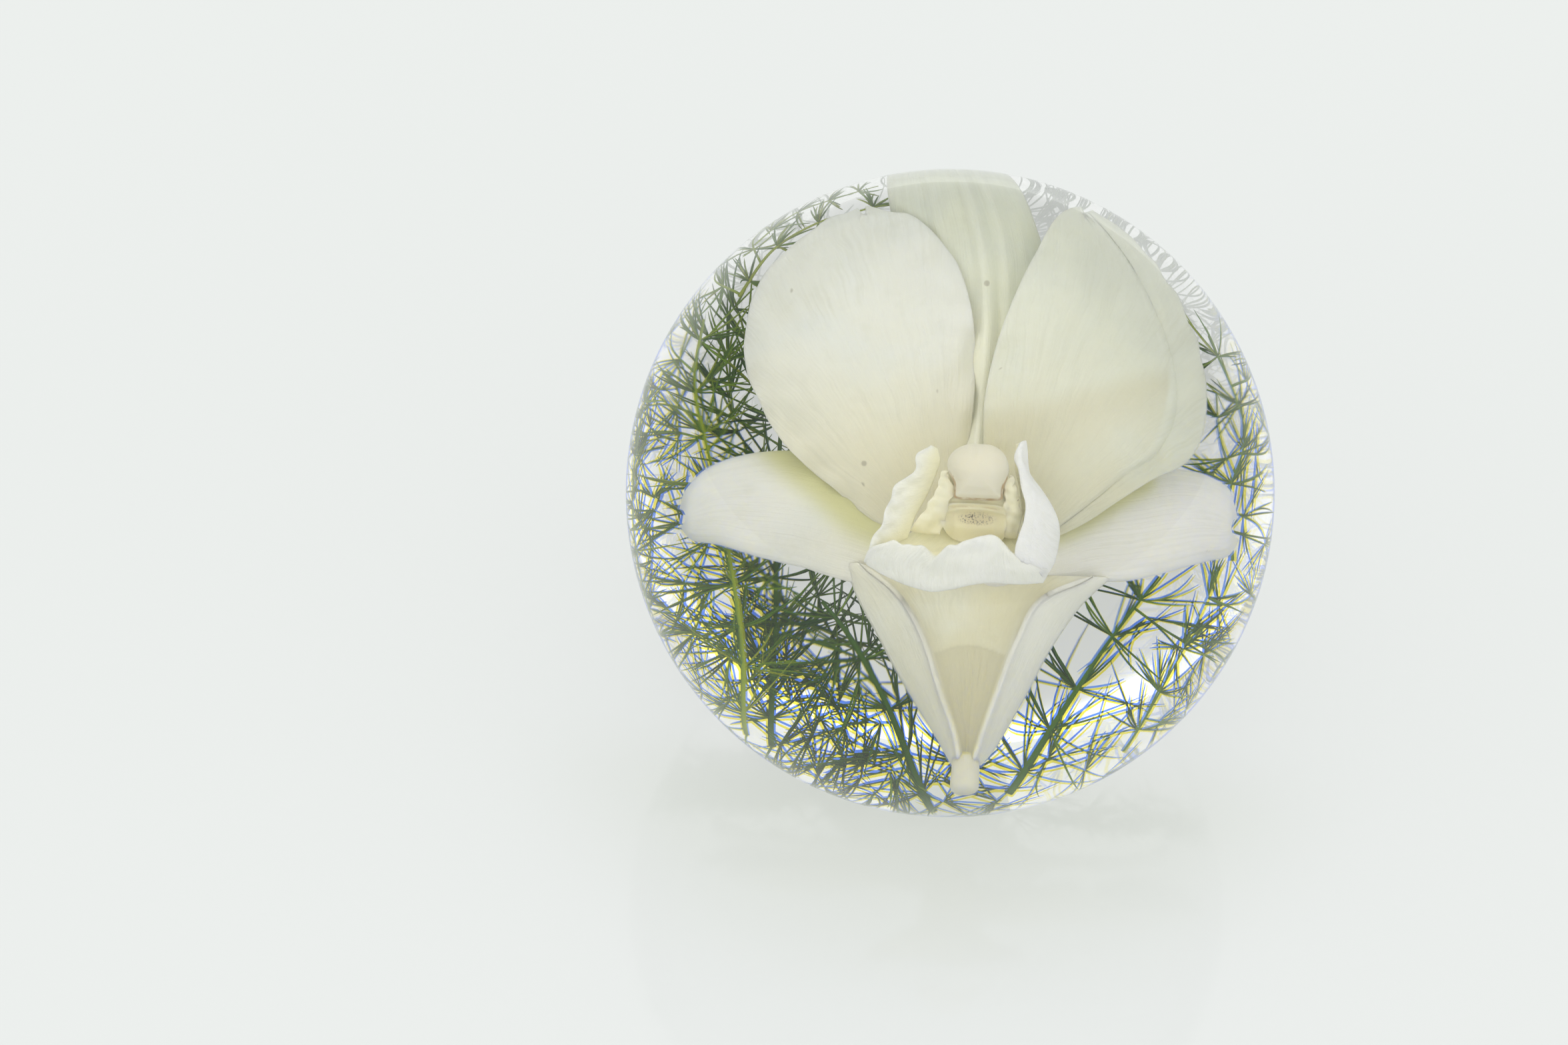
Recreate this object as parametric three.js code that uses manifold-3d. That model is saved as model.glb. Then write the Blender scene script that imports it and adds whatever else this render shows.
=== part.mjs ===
// A clear resin ball paperweight with an orchid flower and fern sprigs cast inside it.
// The ball stands on a ground flat, centred on the origin, with +Z up. The flower looks forward (-Y) and up.
import * as THREE from "three";
import { mergeVertices } from "three/addons/utils/BufferGeometryUtils.js";
import Module from "manifold-3d";

const wasm = await Module();
wasm.setup();

// ---- Driving dimensions: millimetres and degrees ----

const BALL_RADIUS = 40;
const BALL_CENTRE_HEIGHT = 36;
const BALL_SEGMENTS = 48;
const BALL_ARC_STEPS = 20;

// The flower's own frame: X right, Y up along its face, Z out of its face, origin at the ball's centre.
const FACE_ELEVATION = 40;
const FLOWER_CENTRE_X = 2.1;

// Each pour of resin ends at a level of the flower's Z. The fern lies on the first, the flower on the second.
const FERN_LEVEL = -9;
const FLOWER_LEVEL = -5.2;
const POUR_GAP = 0.3;
const RECESS_GAP = 0.3;

// Organs are sheets. rise and fall shape a leaf's outline: small values fill out its base or its tip.
const ORGAN_THICKNESS = 0.8;
const LEAF_BLUNTNESS = 0.03;

// Each organ's base stands at a point measured from the flower's centre line.
const PETAL_LENGTH = 26.5;
const PETAL_WIDTH = 17.8;
const PETAL_OUTLINE = { rise: 0.75, fall: 0.36 };
const PETAL_CUP = 1.9;
const PETAL_EDGE_DROP = 1.7;
const PETAL_RECURVE = 0.8;
const PETAL_SPREAD = 17.5;
const PETAL_BASE_X = 4.3;
const PETAL_BASE_Y = -3.1;
const PETAL_LEFT_Z = -4.3;
const PETAL_RIGHT_Z = -2.5;

const DORSAL_LENGTH = 28;
const DORSAL_WIDTH = 12.2;
const DORSAL_OUTLINE = { rise: 0.5, fall: 0.6 };
const DORSAL_RECURVE = 8;
const DORSAL_CROWN = 1.1;
const DORSAL_LEAN = 6;
const DORSAL_BASE = [-0.3, 1.6, -6.4];

const LATERAL_LENGTH = 20.6;
const LATERAL_WIDTH = 9.4;
const LATERAL_OUTLINE = { rise: 0.45, fall: 0.38 };
const LATERAL_ARCH = 2.6;
const LATERAL_CROWN = 0.7;
const LATERAL_RECURVE = 1.7;
const LATERAL_LIFT = 4;
const LATERAL_BASE = [1.2, -4.4, -6.2];

const MENTUM_LENGTH = 15.6;
const MENTUM_WIDTH = 20.5;
const MENTUM_TAPER = 0.72;
const MENTUM_RIDGE = 0.6;
const MENTUM_TROUGH = 3.2;
const MENTUM_TIP_TROUGH = 0.2;
const MENTUM_TIP_DROP = 5;
const MENTUM_LEAN = -2;
const MENTUM_BASE = [0.9, -6.2, -1.6];
const SPUR_LENGTH = 3.2;
const SPUR_RADIUS = 1.25;

const COLUMN_RADIUS = 2.5;
const COLUMN_LENGTH = 6;
const COLUMN_BASE = [0, 1.1, -1.4];
const STIGMA_SIZE = [1.5, 1.1, 1.3];
const STIGMA_Y = -1.2;
const CAP_WIDTH = 5.2;
const CAP_HEIGHT = 4.3;
const CAP_DEPTH = 3.4;
const CAP_SQUARENESS = 0.12;
const CAP_CENTRE = [0, 2, 6.7];

const LIP_WIDTH = 15.4;
const LIP_NECK = 0.22;
const LIP_REACH = 6.4;
const LIP_CREST = 5.2;
const LIP_CREST_AT = 0.62;
const LIP_SCALLOP = 0.4;
const LIP_BASE = [-0.2, -1.65, -0.4];
const LOBE_HEIGHT = 6.8;
const LOBE_FLARE = 3.9;
const LOBE_INSET = 2.8;
const LOBE_DEPTH = 5;
const LOBE_BASE = [0, -2.4, 0];

const STEM_RADIUS = 0.5;
const BRANCHLET_RADIUS = 0.34;
const BRANCHLET_LENGTH = 3;
const BRANCHLET_LEAN = 38;
const BRANCHLET_STAGGER = 0.16;

// ---- Materials ----

const resin = new THREE.MeshStandardMaterial({
  color: 0xe9eee8,
  roughness: 0.05,
  metalness: 0,
  transparent: true,
  opacity: 0.3,
});
const petalWhite = new THREE.MeshStandardMaterial({ color: 0xeae6d4, roughness: 0.75, metalness: 0 });
const lipWhite = new THREE.MeshStandardMaterial({ color: 0xe0e1d9, roughness: 0.7, metalness: 0 });
const columnCream = new THREE.MeshStandardMaterial({ color: 0xe9dfc6, roughness: 0.65, metalness: 0 });
const fernGreen = new THREE.MeshStandardMaterial({ color: 0x4a6a34, roughness: 0.8, metalness: 0 });

// ---- Solids ----

const radians = THREE.MathUtils.degToRad;
const lerp = THREE.MathUtils.lerp;
const smooth = THREE.MathUtils.smoothstep;

// A manifold-3d solid from a closed geometry, placed by a matrix.
function solidFrom(geometry, matrix) {
  const bare = geometry.clone().applyMatrix4(matrix);
  bare.deleteAttribute("normal");
  bare.deleteAttribute("uv");
  const merged = mergeVertices(bare, 1e-4);
  return new wasm.Manifold(
    new wasm.Mesh({
      numProp: 3,
      vertProperties: new Float32Array(merged.attributes.position.array),
      triVerts: new Uint32Array(merged.index.array),
    }),
  );
}

function geometryFrom(solid) {
  const mesh = solid.getMesh();
  const geometry = new THREE.BufferGeometry();
  geometry.setAttribute("position", new THREE.BufferAttribute(mesh.vertProperties, 3));
  geometry.setIndex(new THREE.BufferAttribute(mesh.triVerts, 1));
  geometry.computeVertexNormals();
  return geometry;
}

const unmoved = new THREE.Matrix4();

function joined(geometries) {
  return geometryFrom(wasm.Manifold.union(geometries.map((geometry) => solidFrom(geometry, unmoved))));
}

// A closed sheet of even thickness over surface(u, v), with u from -1 to 1 and v from 0 to 1.
// grow moves every face out by that much.
function sheet(surface, across, along, grow) {
  const step = 1e-3;
  const columns = across + 1;
  const layer = columns * (along + 1);
  const position = [];
  for (const side of [1, -1]) {
    for (let j = 0; j <= along; j += 1) {
      for (let i = 0; i <= across; i += 1) {
        const u = (2 * i) / across - 1;
        const v = j / along;
        const alongU = surface(u + step, v).sub(surface(u - step, v)).normalize();
        const alongV = surface(u, Math.min(v + step, 1)).sub(surface(u, Math.max(v - step, 0))).normalize();
        const normal = new THREE.Vector3().crossVectors(alongU, alongV).normalize();
        const point = surface(u, v).addScaledVector(normal, side * (ORGAN_THICKNESS / 2 + grow));
        const edgeU = Number(i === across) - Number(i === 0);
        const edgeV = Number(j === along) - Number(j === 0);
        point.addScaledVector(alongU, edgeU * grow).addScaledVector(alongV, edgeV * grow);
        position.push(point.x, point.y, point.z);
      }
    }
  }
  const index = [];
  const quad = (a, b, c, d) => index.push(a, b, c, a, c, d);
  for (let j = 0; j < along; j += 1) {
    for (let i = 0; i < across; i += 1) {
      const a = j * columns + i;
      quad(a, a + 1, a + 1 + columns, a + columns);
      quad(layer + a, layer + a + columns, layer + a + 1 + columns, layer + a + 1);
    }
  }
  const wall = (a, b) => quad(a, a + layer, b + layer, b);
  for (let i = 0; i < across; i += 1) {
    wall(i, i + 1);
    wall(along * columns + i + 1, along * columns + i);
  }
  for (let j = 0; j < along; j += 1) {
    wall((j + 1) * columns, j * columns);
    wall(j * columns + across, (j + 1) * columns + across);
  }
  const geometry = new THREE.BufferGeometry();
  geometry.setAttribute("position", new THREE.Float32BufferAttribute(position, 3));
  geometry.setIndex(index);
  geometry.computeVertexNormals();
  return geometry;
}

// Half the width of a leaf outline at v: it is widest where rise and fall balance.
function leafHalfWidth(v, width, { rise, fall }) {
  const widest = rise / (rise + fall);
  const s = lerp(LEAF_BLUNTNESS, 1 - LEAF_BLUNTNESS, (1 - Math.cos(Math.PI * v)) / 2);
  return (width / 2) * (s / widest) ** rise * ((1 - s) / (1 - widest)) ** fall;
}

// Distance along a leaf at v, with its rows closer together at both ends.
const leafReach = (v, length) => (length * (1 - Math.cos(Math.PI * v))) / 2;

// ---- Flower organs, each with its base at the origin, +Y towards its tip and +Z out of its face ----

function petal(grow) {
  const surface = (u, v) => {
    const x = u * leafHalfWidth(v, PETAL_WIDTH, PETAL_OUTLINE);
    const y = leafReach(v, PETAL_LENGTH);
    const share = y / PETAL_LENGTH;
    const dish = PETAL_CUP * Math.sin(Math.PI * share) ** 2;
    return new THREE.Vector3(x, y, dish - PETAL_EDGE_DROP * u * u * share - PETAL_RECURVE * share ** 3);
  };
  return sheet(surface, 7, 8, grow);
}

function dorsalSepal(grow) {
  const surface = (u, v) => {
    const x = u * leafHalfWidth(v, DORSAL_WIDTH, DORSAL_OUTLINE);
    const y = leafReach(v, DORSAL_LENGTH);
    return new THREE.Vector3(x, y, -DORSAL_RECURVE * (y / DORSAL_LENGTH) ** 2 - DORSAL_CROWN * u * u);
  };
  return sheet(surface, 6, 8, grow);
}

// side is -1 for the left sepal and 1 for the right one. It runs sideways and arches upwards.
function lateralSepal(side, grow) {
  const surface = (u, v) => {
    const half = leafHalfWidth(v, LATERAL_WIDTH, LATERAL_OUTLINE);
    const reach = leafReach(v, LATERAL_LENGTH);
    const share = reach / LATERAL_LENGTH;
    const arch = LATERAL_ARCH * Math.sin(Math.PI * share) ** 2;
    const z = LATERAL_CROWN * (1 - u * u) - LATERAL_RECURVE * share ** 2;
    return new THREE.Vector3(side * reach, arch + side * u * half, z);
  };
  return sheet(surface, 6, 8, grow);
}

// The chin is a trough that narrows downwards to a spur. Its two ridges stand forward of its margins.
function mentum(grow) {
  const surface = (u, v) => {
    const half = lerp(MENTUM_WIDTH / 2, SPUR_RADIUS, v ** MENTUM_TAPER);
    const inner = Math.min(Math.abs(u) / MENTUM_RIDGE, 1);
    const outer = Math.max(Math.abs(u) - MENTUM_RIDGE, 0) / (1 - MENTUM_RIDGE);
    const depth = lerp(MENTUM_TROUGH, MENTUM_TIP_TROUGH, v);
    const lift = -depth * (1 - smooth(inner, 0, 1)) - 0.55 * depth * outer;
    return new THREE.Vector3(-u * half, -MENTUM_LENGTH * v, -MENTUM_TIP_DROP * v ** 1.2 + lift);
  };
  const trough = sheet(surface, 10, 7, grow);
  const spur = new THREE.SphereGeometry(1, 10, 8);
  spur.scale(SPUR_RADIUS + 0.1 + grow, SPUR_LENGTH / 2 + grow, SPUR_RADIUS + grow);
  spur.translate(0, -MENTUM_LENGTH - SPUR_LENGTH / 4, -MENTUM_TIP_DROP - 0.6);
  return joined([trough, spur]);
}

// The lip's middle lobe rises forward from the column's foot to a crest and folds down to a scalloped edge.
function lipMidlobe(grow) {
  const surface = (u, v) => {
    const half = (LIP_WIDTH / 2) * lerp(LIP_NECK, 1, smooth(v, 0.25, 0.75));
    const scallop = LIP_SCALLOP * Math.sin(5 * u) * v;
    const rise = LIP_CREST * Math.sin((Math.PI / 2) * Math.min(v / LIP_CREST_AT, 1));
    const fold = LIP_CREST * Math.max(v - LIP_CREST_AT, 0) ** 2;
    const curl = 0.8 * u * u * v;
    return new THREE.Vector3(-u * half - 0.7 * v, scallop - LIP_REACH * v, rise - fold + curl);
  };
  return sheet(surface, 8, 6, grow);
}

// A side lobe stands beside the column: it leaves the lip's foot and rises forward to a flared edge.
function lipSideLobe(side, grow) {
  const surface = (u, v) => {
    const along = (side * u + 1) / 2;
    const flare = LOBE_FLARE * (1 - smooth(along, 0.05, 0.75)) + 0.75;
    const z = lerp(0, LOBE_DEPTH - 1.8 * along, v);
    return new THREE.Vector3(side * (LOBE_INSET + flare * v), LOBE_HEIGHT * along, z);
  };
  return sheet(surface, 6, 4, grow);
}

function column(grow) {
  const radius = COLUMN_RADIUS + grow;
  const end = COLUMN_LENGTH + grow;
  const profile = [
    new THREE.Vector2(0, -grow),
    new THREE.Vector2(0.72 * radius, -grow),
    new THREE.Vector2(0.86 * radius, 0.4 * COLUMN_LENGTH),
    new THREE.Vector2(radius, 0.8 * COLUMN_LENGTH),
    new THREE.Vector2(0.82 * radius, end),
    new THREE.Vector2(0, end),
  ];
  const stalk = new THREE.LatheGeometry(profile, 14).rotateX(Math.PI / 2);
  const solid = solidFrom(stalk, unmoved);
  if (grow > 0) return geometryFrom(solid);
  // The stigma is a shallow hollow under the cap.
  const hollow = new THREE.SphereGeometry(1, 10, 8);
  hollow.scale(...STIGMA_SIZE).translate(0, STIGMA_Y, COLUMN_LENGTH);
  return geometryFrom(solid.subtract(solidFrom(hollow, unmoved)));
}

function antherCap(grow) {
  const cap = new THREE.SphereGeometry(1, 14, 10);
  const position = cap.attributes.position;
  for (let i = 0; i < position.count; i += 1) {
    const bulge = 1 + CAP_SQUARENESS * Math.abs(position.getX(i) * position.getY(i));
    position.setXYZ(i, bulge * position.getX(i), bulge * position.getY(i), position.getZ(i));
  }
  cap.scale(CAP_WIDTH / 2 + grow, CAP_HEIGHT / 2 + grow, CAP_DEPTH / 2 + grow);
  return cap;
}

// ---- Fern sprigs ----

// A tube along a curve, closed at both ends.
function tube(curve, radius, sides, steps, grow) {
  const section = new THREE.Shape();
  for (let k = 0; k < sides; k += 1) {
    const angle = (2 * Math.PI * k) / sides;
    const point = [(radius + grow) * Math.cos(angle), (radius + grow) * Math.sin(angle)];
    if (k === 0) section.moveTo(...point);
    else section.lineTo(...point);
  }
  section.closePath();
  return new THREE.ExtrudeGeometry(section, { steps, extrudePath: curve });
}

// A sprig is a stem with pairs of short branchlets that lean towards its tip.
function fernSprig(points, pairs, grow) {
  const stem = new THREE.CatmullRomCurve3(points.map((point) => new THREE.Vector3(...point)));
  const pieces = [tube(stem, STEM_RADIUS, 5, 2 * (points.length - 1), grow)];
  for (let k = 0; k < pairs; k += 1) {
    const at = (k + 0.7) / (pairs + 0.2);
    const root = stem.getPointAt(at);
    const forward = stem.getTangentAt(at);
    const outward = new THREE.Vector3(-forward.y, forward.x, 0).normalize();
    for (const side of [-1, 1]) {
      const direction = forward.clone().multiplyScalar(Math.sin(radians(BRANCHLET_LEAN)));
      direction.addScaledVector(outward, side * Math.cos(radians(BRANCHLET_LEAN)));
      direction.z += k % 2 ? BRANCHLET_STAGGER : -BRANCHLET_STAGGER;
      const tip = root.clone().addScaledVector(direction.normalize(), BRANCHLET_LENGTH + grow);
      pieces.push(tube(new THREE.LineCurve3(root, tip), BRANCHLET_RADIUS, 4, 1, grow));
    }
  }
  return joined(pieces);
}

// Each sprig's route in the flower's frame, from its cut end to its tip, and its number of branchlet pairs.
const FERN_SPRIGS = {
  fern_sprig_left_main: [
    [
      [-14.4, -19, -10],
      [-15.2, -8, -9.2],
      [-16.6, 1, -8.7],
      [-18.8, 6.8, -9],
      [-18.4, 11.6, -9.4],
    ],
    5,
  ],
  fern_sprig_left_inner: [
    [
      [-11.6, -17.6, -12],
      [-12, -9, -11.8],
      [-12, -1, -11.6],
      [-11.6, 6.4, -9.2],
    ],
    3,
  ],
  fern_sprig_left_top: [
    [
      [-17, 14.6, -9.6],
      [-13, 18.2, -9],
      [-7.4, 20.8, -8.7],
    ],
    3,
  ],
  fern_sprig_left_rim: [
    [
      [-23.6, -9, -9.6],
      [-24.8, -1, -9],
      [-24.2, 7.4, -8.6],
    ],
    3,
  ],
  fern_sprig_lower_left: [
    [
      [-3.6, -22.4, -11.4],
      [-4.4, -16.5, -10.2],
      [-6.8, -10.6, -8.8],
    ],
    3,
  ],
  fern_sprig_right_main: [
    [
      [7, -21, -10.6],
      [8.9, -16, -9.8],
      [11.7, -11.2, -9],
      [14.3, -7, -8.7],
      [17, -5.1, -8.8],
    ],
    4,
  ],
  fern_sprig_right_rim: [
    [
      [23.4, -5.6, -9.8],
      [23.4, 1, -9.4],
      [21.6, 7.4, -8.8],
      [18.8, 13, -9],
    ],
    4,
  ],
  fern_sprig_lower_right: [
    [
      [13.6, -18.4, -9.8],
      [16.8, -14.4, -9],
      [20, -9.8, -8.8],
    ],
    3,
  ],
};

// ---- Assembly ----

const paperweight = new THREE.Group();
const inclusions = new THREE.Group();
inclusions.position.z = BALL_CENTRE_HEIGHT;
inclusions.rotation.x = radians(90 - FACE_ELEVATION);
paperweight.add(inclusions);
const flower = new THREE.Group();
flower.position.x = FLOWER_CENTRE_X;
inclusions.add(flower);

// Adds an inclusion, and keeps the solid that its recess in the resin follows.
const recesses = [];

function embed(parent, name, make, material, base, turn) {
  const mesh = new THREE.Mesh(make(0), material);
  mesh.name = name;
  mesh.position.set(...base);
  mesh.rotation.z = radians(turn);
  parent.add(mesh);
  paperweight.updateMatrixWorld(true);
  const itself = solidFrom(mesh.geometry, mesh.matrixWorld);
  recesses.push(itself.add(solidFrom(make(RECESS_GAP), mesh.matrixWorld)));
}

embed(flower, "dorsal_sepal", dorsalSepal, petalWhite, DORSAL_BASE, DORSAL_LEAN);
embed(flower, "petal_left", petal, petalWhite, [-PETAL_BASE_X, PETAL_BASE_Y, PETAL_LEFT_Z], PETAL_SPREAD);
embed(flower, "petal_right", petal, petalWhite, [PETAL_BASE_X, PETAL_BASE_Y, PETAL_RIGHT_Z], -PETAL_SPREAD);
for (const [name, side] of [
  ["left", -1],
  ["right", 1],
]) {
  const [x, y, z] = LATERAL_BASE;
  const sepal = (grow) => lateralSepal(side, grow);
  const lobe = (grow) => lipSideLobe(side, grow);
  embed(flower, `lateral_sepal_${name}`, sepal, petalWhite, [side * x, y, z], side * LATERAL_LIFT);
  embed(flower, `lip_side_lobe_${name}`, lobe, lipWhite, LOBE_BASE, 0);
}
embed(flower, "mentum", mentum, petalWhite, MENTUM_BASE, MENTUM_LEAN);
embed(flower, "lip_midlobe", lipMidlobe, lipWhite, LIP_BASE, 0);
embed(flower, "column", column, columnCream, COLUMN_BASE, 0);
embed(flower, "anther_cap", antherCap, columnCream, CAP_CENTRE, 0);
for (const [name, [points, pairs]] of Object.entries(FERN_SPRIGS)) {
  const sprig = (grow) => fernSprig(points, pairs, grow);
  embed(inclusions, name, sprig, fernGreen, [0, 0, 0], 0);
}

// The ball's profile runs from the axis along the ground flat and up the arc to the top.
const profile = [new THREE.Vector2(0, 0)];
const flatAngle = Math.asin(BALL_CENTRE_HEIGHT / BALL_RADIUS);
for (let k = 0; k <= BALL_ARC_STEPS; k += 1) {
  const angle = lerp(-flatAngle, Math.PI / 2, k / BALL_ARC_STEPS);
  const radius = k === BALL_ARC_STEPS ? 0 : BALL_RADIUS * Math.cos(angle);
  const height = k === 0 ? 0 : BALL_CENTRE_HEIGHT + BALL_RADIUS * Math.sin(angle);
  profile.push(new THREE.Vector2(radius, height));
}
const ball = new THREE.LatheGeometry(profile, BALL_SEGMENTS).rotateX(Math.PI / 2);
const ballSolid = solidFrom(ball, unmoved);
const recessSolid = wasm.Manifold.union(recesses);

// One pour: the ball between two levels of the flower's Z, less the recesses. Loose crumbs are dropped.
function pour(name, from, to) {
  const size = 4 * BALL_RADIUS;
  const slab = new THREE.BoxGeometry(size, size, to - from).translate(0, 0, (from + to) / 2);
  const solid = ballSolid.intersect(solidFrom(slab, inclusions.matrixWorld)).subtract(recessSolid);
  const bodies = solid.decompose().sort((a, b) => b.volume() - a.volume());
  const mesh = new THREE.Mesh(geometryFrom(bodies[0]), resin);
  mesh.name = name;
  paperweight.add(mesh);
}

pour("resin_base", -2 * BALL_RADIUS, FERN_LEVEL - POUR_GAP / 2);
pour("resin_middle", FERN_LEVEL + POUR_GAP / 2, FLOWER_LEVEL - POUR_GAP / 2);
pour("resin_dome", FLOWER_LEVEL + POUR_GAP / 2, 2 * BALL_RADIUS);

export default paperweight;
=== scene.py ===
import math

import bmesh
import bpy
import numpy as np
from mathutils import Matrix, Vector


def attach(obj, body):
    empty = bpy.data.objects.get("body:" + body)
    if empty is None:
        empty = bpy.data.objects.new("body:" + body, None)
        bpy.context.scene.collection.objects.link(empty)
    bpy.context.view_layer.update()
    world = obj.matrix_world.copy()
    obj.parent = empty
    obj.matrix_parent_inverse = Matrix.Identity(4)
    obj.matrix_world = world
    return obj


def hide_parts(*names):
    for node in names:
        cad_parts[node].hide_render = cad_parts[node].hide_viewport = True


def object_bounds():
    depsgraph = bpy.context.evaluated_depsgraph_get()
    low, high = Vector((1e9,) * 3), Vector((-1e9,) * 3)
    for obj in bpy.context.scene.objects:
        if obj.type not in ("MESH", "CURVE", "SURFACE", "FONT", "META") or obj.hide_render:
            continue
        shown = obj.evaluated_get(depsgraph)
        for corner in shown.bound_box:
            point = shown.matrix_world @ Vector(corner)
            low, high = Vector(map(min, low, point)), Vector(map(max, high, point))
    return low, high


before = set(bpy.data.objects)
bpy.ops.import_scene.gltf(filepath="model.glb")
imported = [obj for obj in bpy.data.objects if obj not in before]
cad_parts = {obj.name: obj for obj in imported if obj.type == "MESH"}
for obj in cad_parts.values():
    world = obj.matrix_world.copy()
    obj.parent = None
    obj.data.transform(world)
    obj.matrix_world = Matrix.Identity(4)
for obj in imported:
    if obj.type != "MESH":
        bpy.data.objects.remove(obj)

cad_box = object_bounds()

# ---- Driving dimensions: metres for the ball, millimetres for what it holds ----

MM = 0.001
BALL_RADIUS = (cad_box[1].x - cad_box[0].x) / 2
BALL_TOP = cad_box[1].z
BALL_CENTRE = BALL_TOP - BALL_RADIUS
FLAT_BEVEL = 0.0005

# The inclusions' frame: X right, Y up along the flower's face, Z out of its face, origin at the ball's centre.
# Nothing in it reaches past SAFE_RADIUS from the ball's centre.
FACE_LEAN = math.radians(50)
FLOWER_X = 2.1
SAFE_RADIUS = 38.6
PETAL_THICKNESS = 0.42
LIP_THICKNESS = 0.3
LOBE_THICKNESS = 0.28
WING_THICKNESS = 0.26
RESIN_IOR = 1.54
# How far the warm and the cool light's indices lie to either side of the resin's, and where the split fades in:
# the surface's slant to the view, and its height in metres.
DISPERSION = 0.007
SPLIT_SLANTS = (0.12, 0.3)
SPLIT_HEIGHTS = (0.064, 0.052)


def in_ball(points):
    """World positions, in metres, of points in the inclusions' frame."""
    x, y, z = np.asarray(points, float).reshape(-1, 3).T
    lean, rise = math.cos(FACE_LEAN), math.sin(FACE_LEAN)
    world = np.column_stack([x, y * lean - z * rise, y * rise + z * lean]) * MM
    return world + np.array([0, 0, BALL_CENTRE])


# ---- Curves and surfaces ----


def ease(x, low, high):
    """Smooth step from 0 at low to 1 at high."""
    t = np.clip((x - low) / (high - low), 0, 1)
    return t * t * (3 - 2 * t)


def hump(x, centre, width):
    """1 at centre, fading over that width on both sides."""
    return np.exp(-(((x - centre) / width) ** 2))


def blade_share(v):
    """The share of a blade's length at v: its rows are closer together near both ends."""
    return (1 - np.cos(math.pi * v)) / 2


def spline(points, t):
    """Points on a smooth curve through all the given points, at shares t of its way."""
    p = np.asarray(points, float)
    p = np.concatenate([2 * p[:1] - p[1:2], p, 2 * p[-1:] - p[-2:-1]])
    at = np.clip(np.asarray(t, float), 0, 1) * (len(p) - 3)
    i = np.minimum(at.astype(int), len(p) - 4)
    s = (at - i).reshape(at.shape + (1,) * (p.ndim - 1))
    a, b, c, d = p[i], p[i + 1], p[i + 2], p[i + 3]
    return 0.5 * (2 * b + (c - a) * s + (2 * a - 5 * b + 4 * c - d) * s**2 + (3 * b - a - 3 * c + d) * s**3)


def ripples(seed, count, shortest, longest):
    """A smooth random relief of x and y, about 1 high, with waves of the given lengths."""
    rng = np.random.default_rng(seed)
    length = rng.uniform(shortest, longest, count)
    heading = rng.uniform(0, 2 * math.pi, count)
    phase = rng.uniform(0, 2 * math.pi, count)
    step = 2 * math.pi / length

    def relief(x, y):
        total = np.zeros(np.broadcast(x, y).shape)
        for k, a, p in zip(step, heading, phase):
            total += np.sin(k * (x * math.cos(a) + y * math.sin(a)) + p)
        return total / math.sqrt(count)

    return relief


# ---- Meshes ----


def mesh_piece(name, verts, faces, material, nodes, leaf=None):
    """A smooth-shaded piece of the object that stands for the given CAD nodes."""
    mesh = bpy.data.meshes.new(name)
    mesh.from_pydata(verts.tolist(), [], faces)
    mesh.validate()
    bm = bmesh.new()
    bm.from_mesh(mesh)
    bmesh.ops.recalc_face_normals(bm, faces=bm.faces)
    bm.to_mesh(mesh)
    bm.free()
    mesh.polygons.foreach_set("use_smooth", [True] * len(mesh.polygons))
    if leaf is not None:
        attribute = mesh.attributes.new("leaf", "FLOAT_VECTOR", "POINT")
        attribute.data.foreach_set("vector", np.asarray(leaf, np.float32).ravel())
    mesh.materials.append(material)
    piece = bpy.data.objects.new(name, mesh)
    bpy.context.scene.collection.objects.link(piece)
    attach(piece, "root")
    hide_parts(*nodes)
    return piece


def grid_faces(rows, columns, first=0):
    """Quads of a grid of points, row after row."""
    i, j = np.meshgrid(np.arange(rows - 1), np.arange(columns - 1), indexing="ij")
    a = first + i * columns + j
    return np.stack([a, a + 1, a + columns + 1, a + columns], axis=-1).reshape(-1, 4).tolist()


def ring_faces(rings, turns):
    """Quads between closed rings of points, ring after ring."""
    faces = []
    for k in range(rings - 1):
        for j in range(turns):
            n = (j + 1) % turns
            faces.append([k * turns + j, k * turns + n, (k + 1) * turns + n, (k + 1) * turns + j])
    return faces


def sheet_parts(surface, across, along, thickness, shade=None):
    """Vertices, faces and leaf coordinates of a thin closed sheet over surface(u, v).

    shade(u, v, x, y) goes from -1, cool, to 1, deep. On some sheets these are their own colours, on others painted
    shade and painted light.
    """
    v, u = np.meshgrid(np.linspace(0, 1, along + 1), np.linspace(-1, 1, across + 1), indexing="ij")
    middle = surface(u, v)
    along_v, along_u = np.gradient(middle, axis=(0, 1))
    normal = np.cross(along_u, along_v)
    normal /= np.maximum(np.linalg.norm(normal, axis=-1, keepdims=True), 1e-9)
    edge = np.minimum(1 - np.abs(u), np.minimum(v, 1 - v) * 2)
    half = thickness / 2 * (0.3 + 0.7 * np.sqrt(ease(edge, 0, 0.12)))[..., None]
    verts = np.concatenate([(middle + normal * half).reshape(-1, 3), (middle - normal * half).reshape(-1, 3)])
    rows, columns = u.shape
    layer = rows * columns
    faces = grid_faces(rows, columns) + [f[::-1] for f in grid_faces(rows, columns, layer)]
    ids = np.arange(layer).reshape(rows, columns)
    rim = np.concatenate([ids[0, :-1], ids[:-1, -1], ids[-1, :0:-1], ids[:0:-1, 0]])
    for a, b in zip(rim, np.roll(rim, -1)):
        faces.append([int(a), int(a) + layer, int(b) + layer, int(b)])
    tint = np.zeros_like(u) if shade is None else shade(u, v, middle[..., 0], middle[..., 1])
    leaf = np.stack([u, v, tint], axis=-1).reshape(-1, 3)
    return verts, faces, np.concatenate([leaf, leaf])


def joined(parts):
    """Several sets of vertices, faces and leaf coordinates as one."""
    verts, faces, leaves, first = [], [], [], 0
    for v, f, leaf in parts:
        verts.append(v)
        leaves.append(leaf)
        faces += [[i + first for i in face] for face in f]
        first += len(v)
    return np.concatenate(verts), faces, np.concatenate(leaves)


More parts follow.
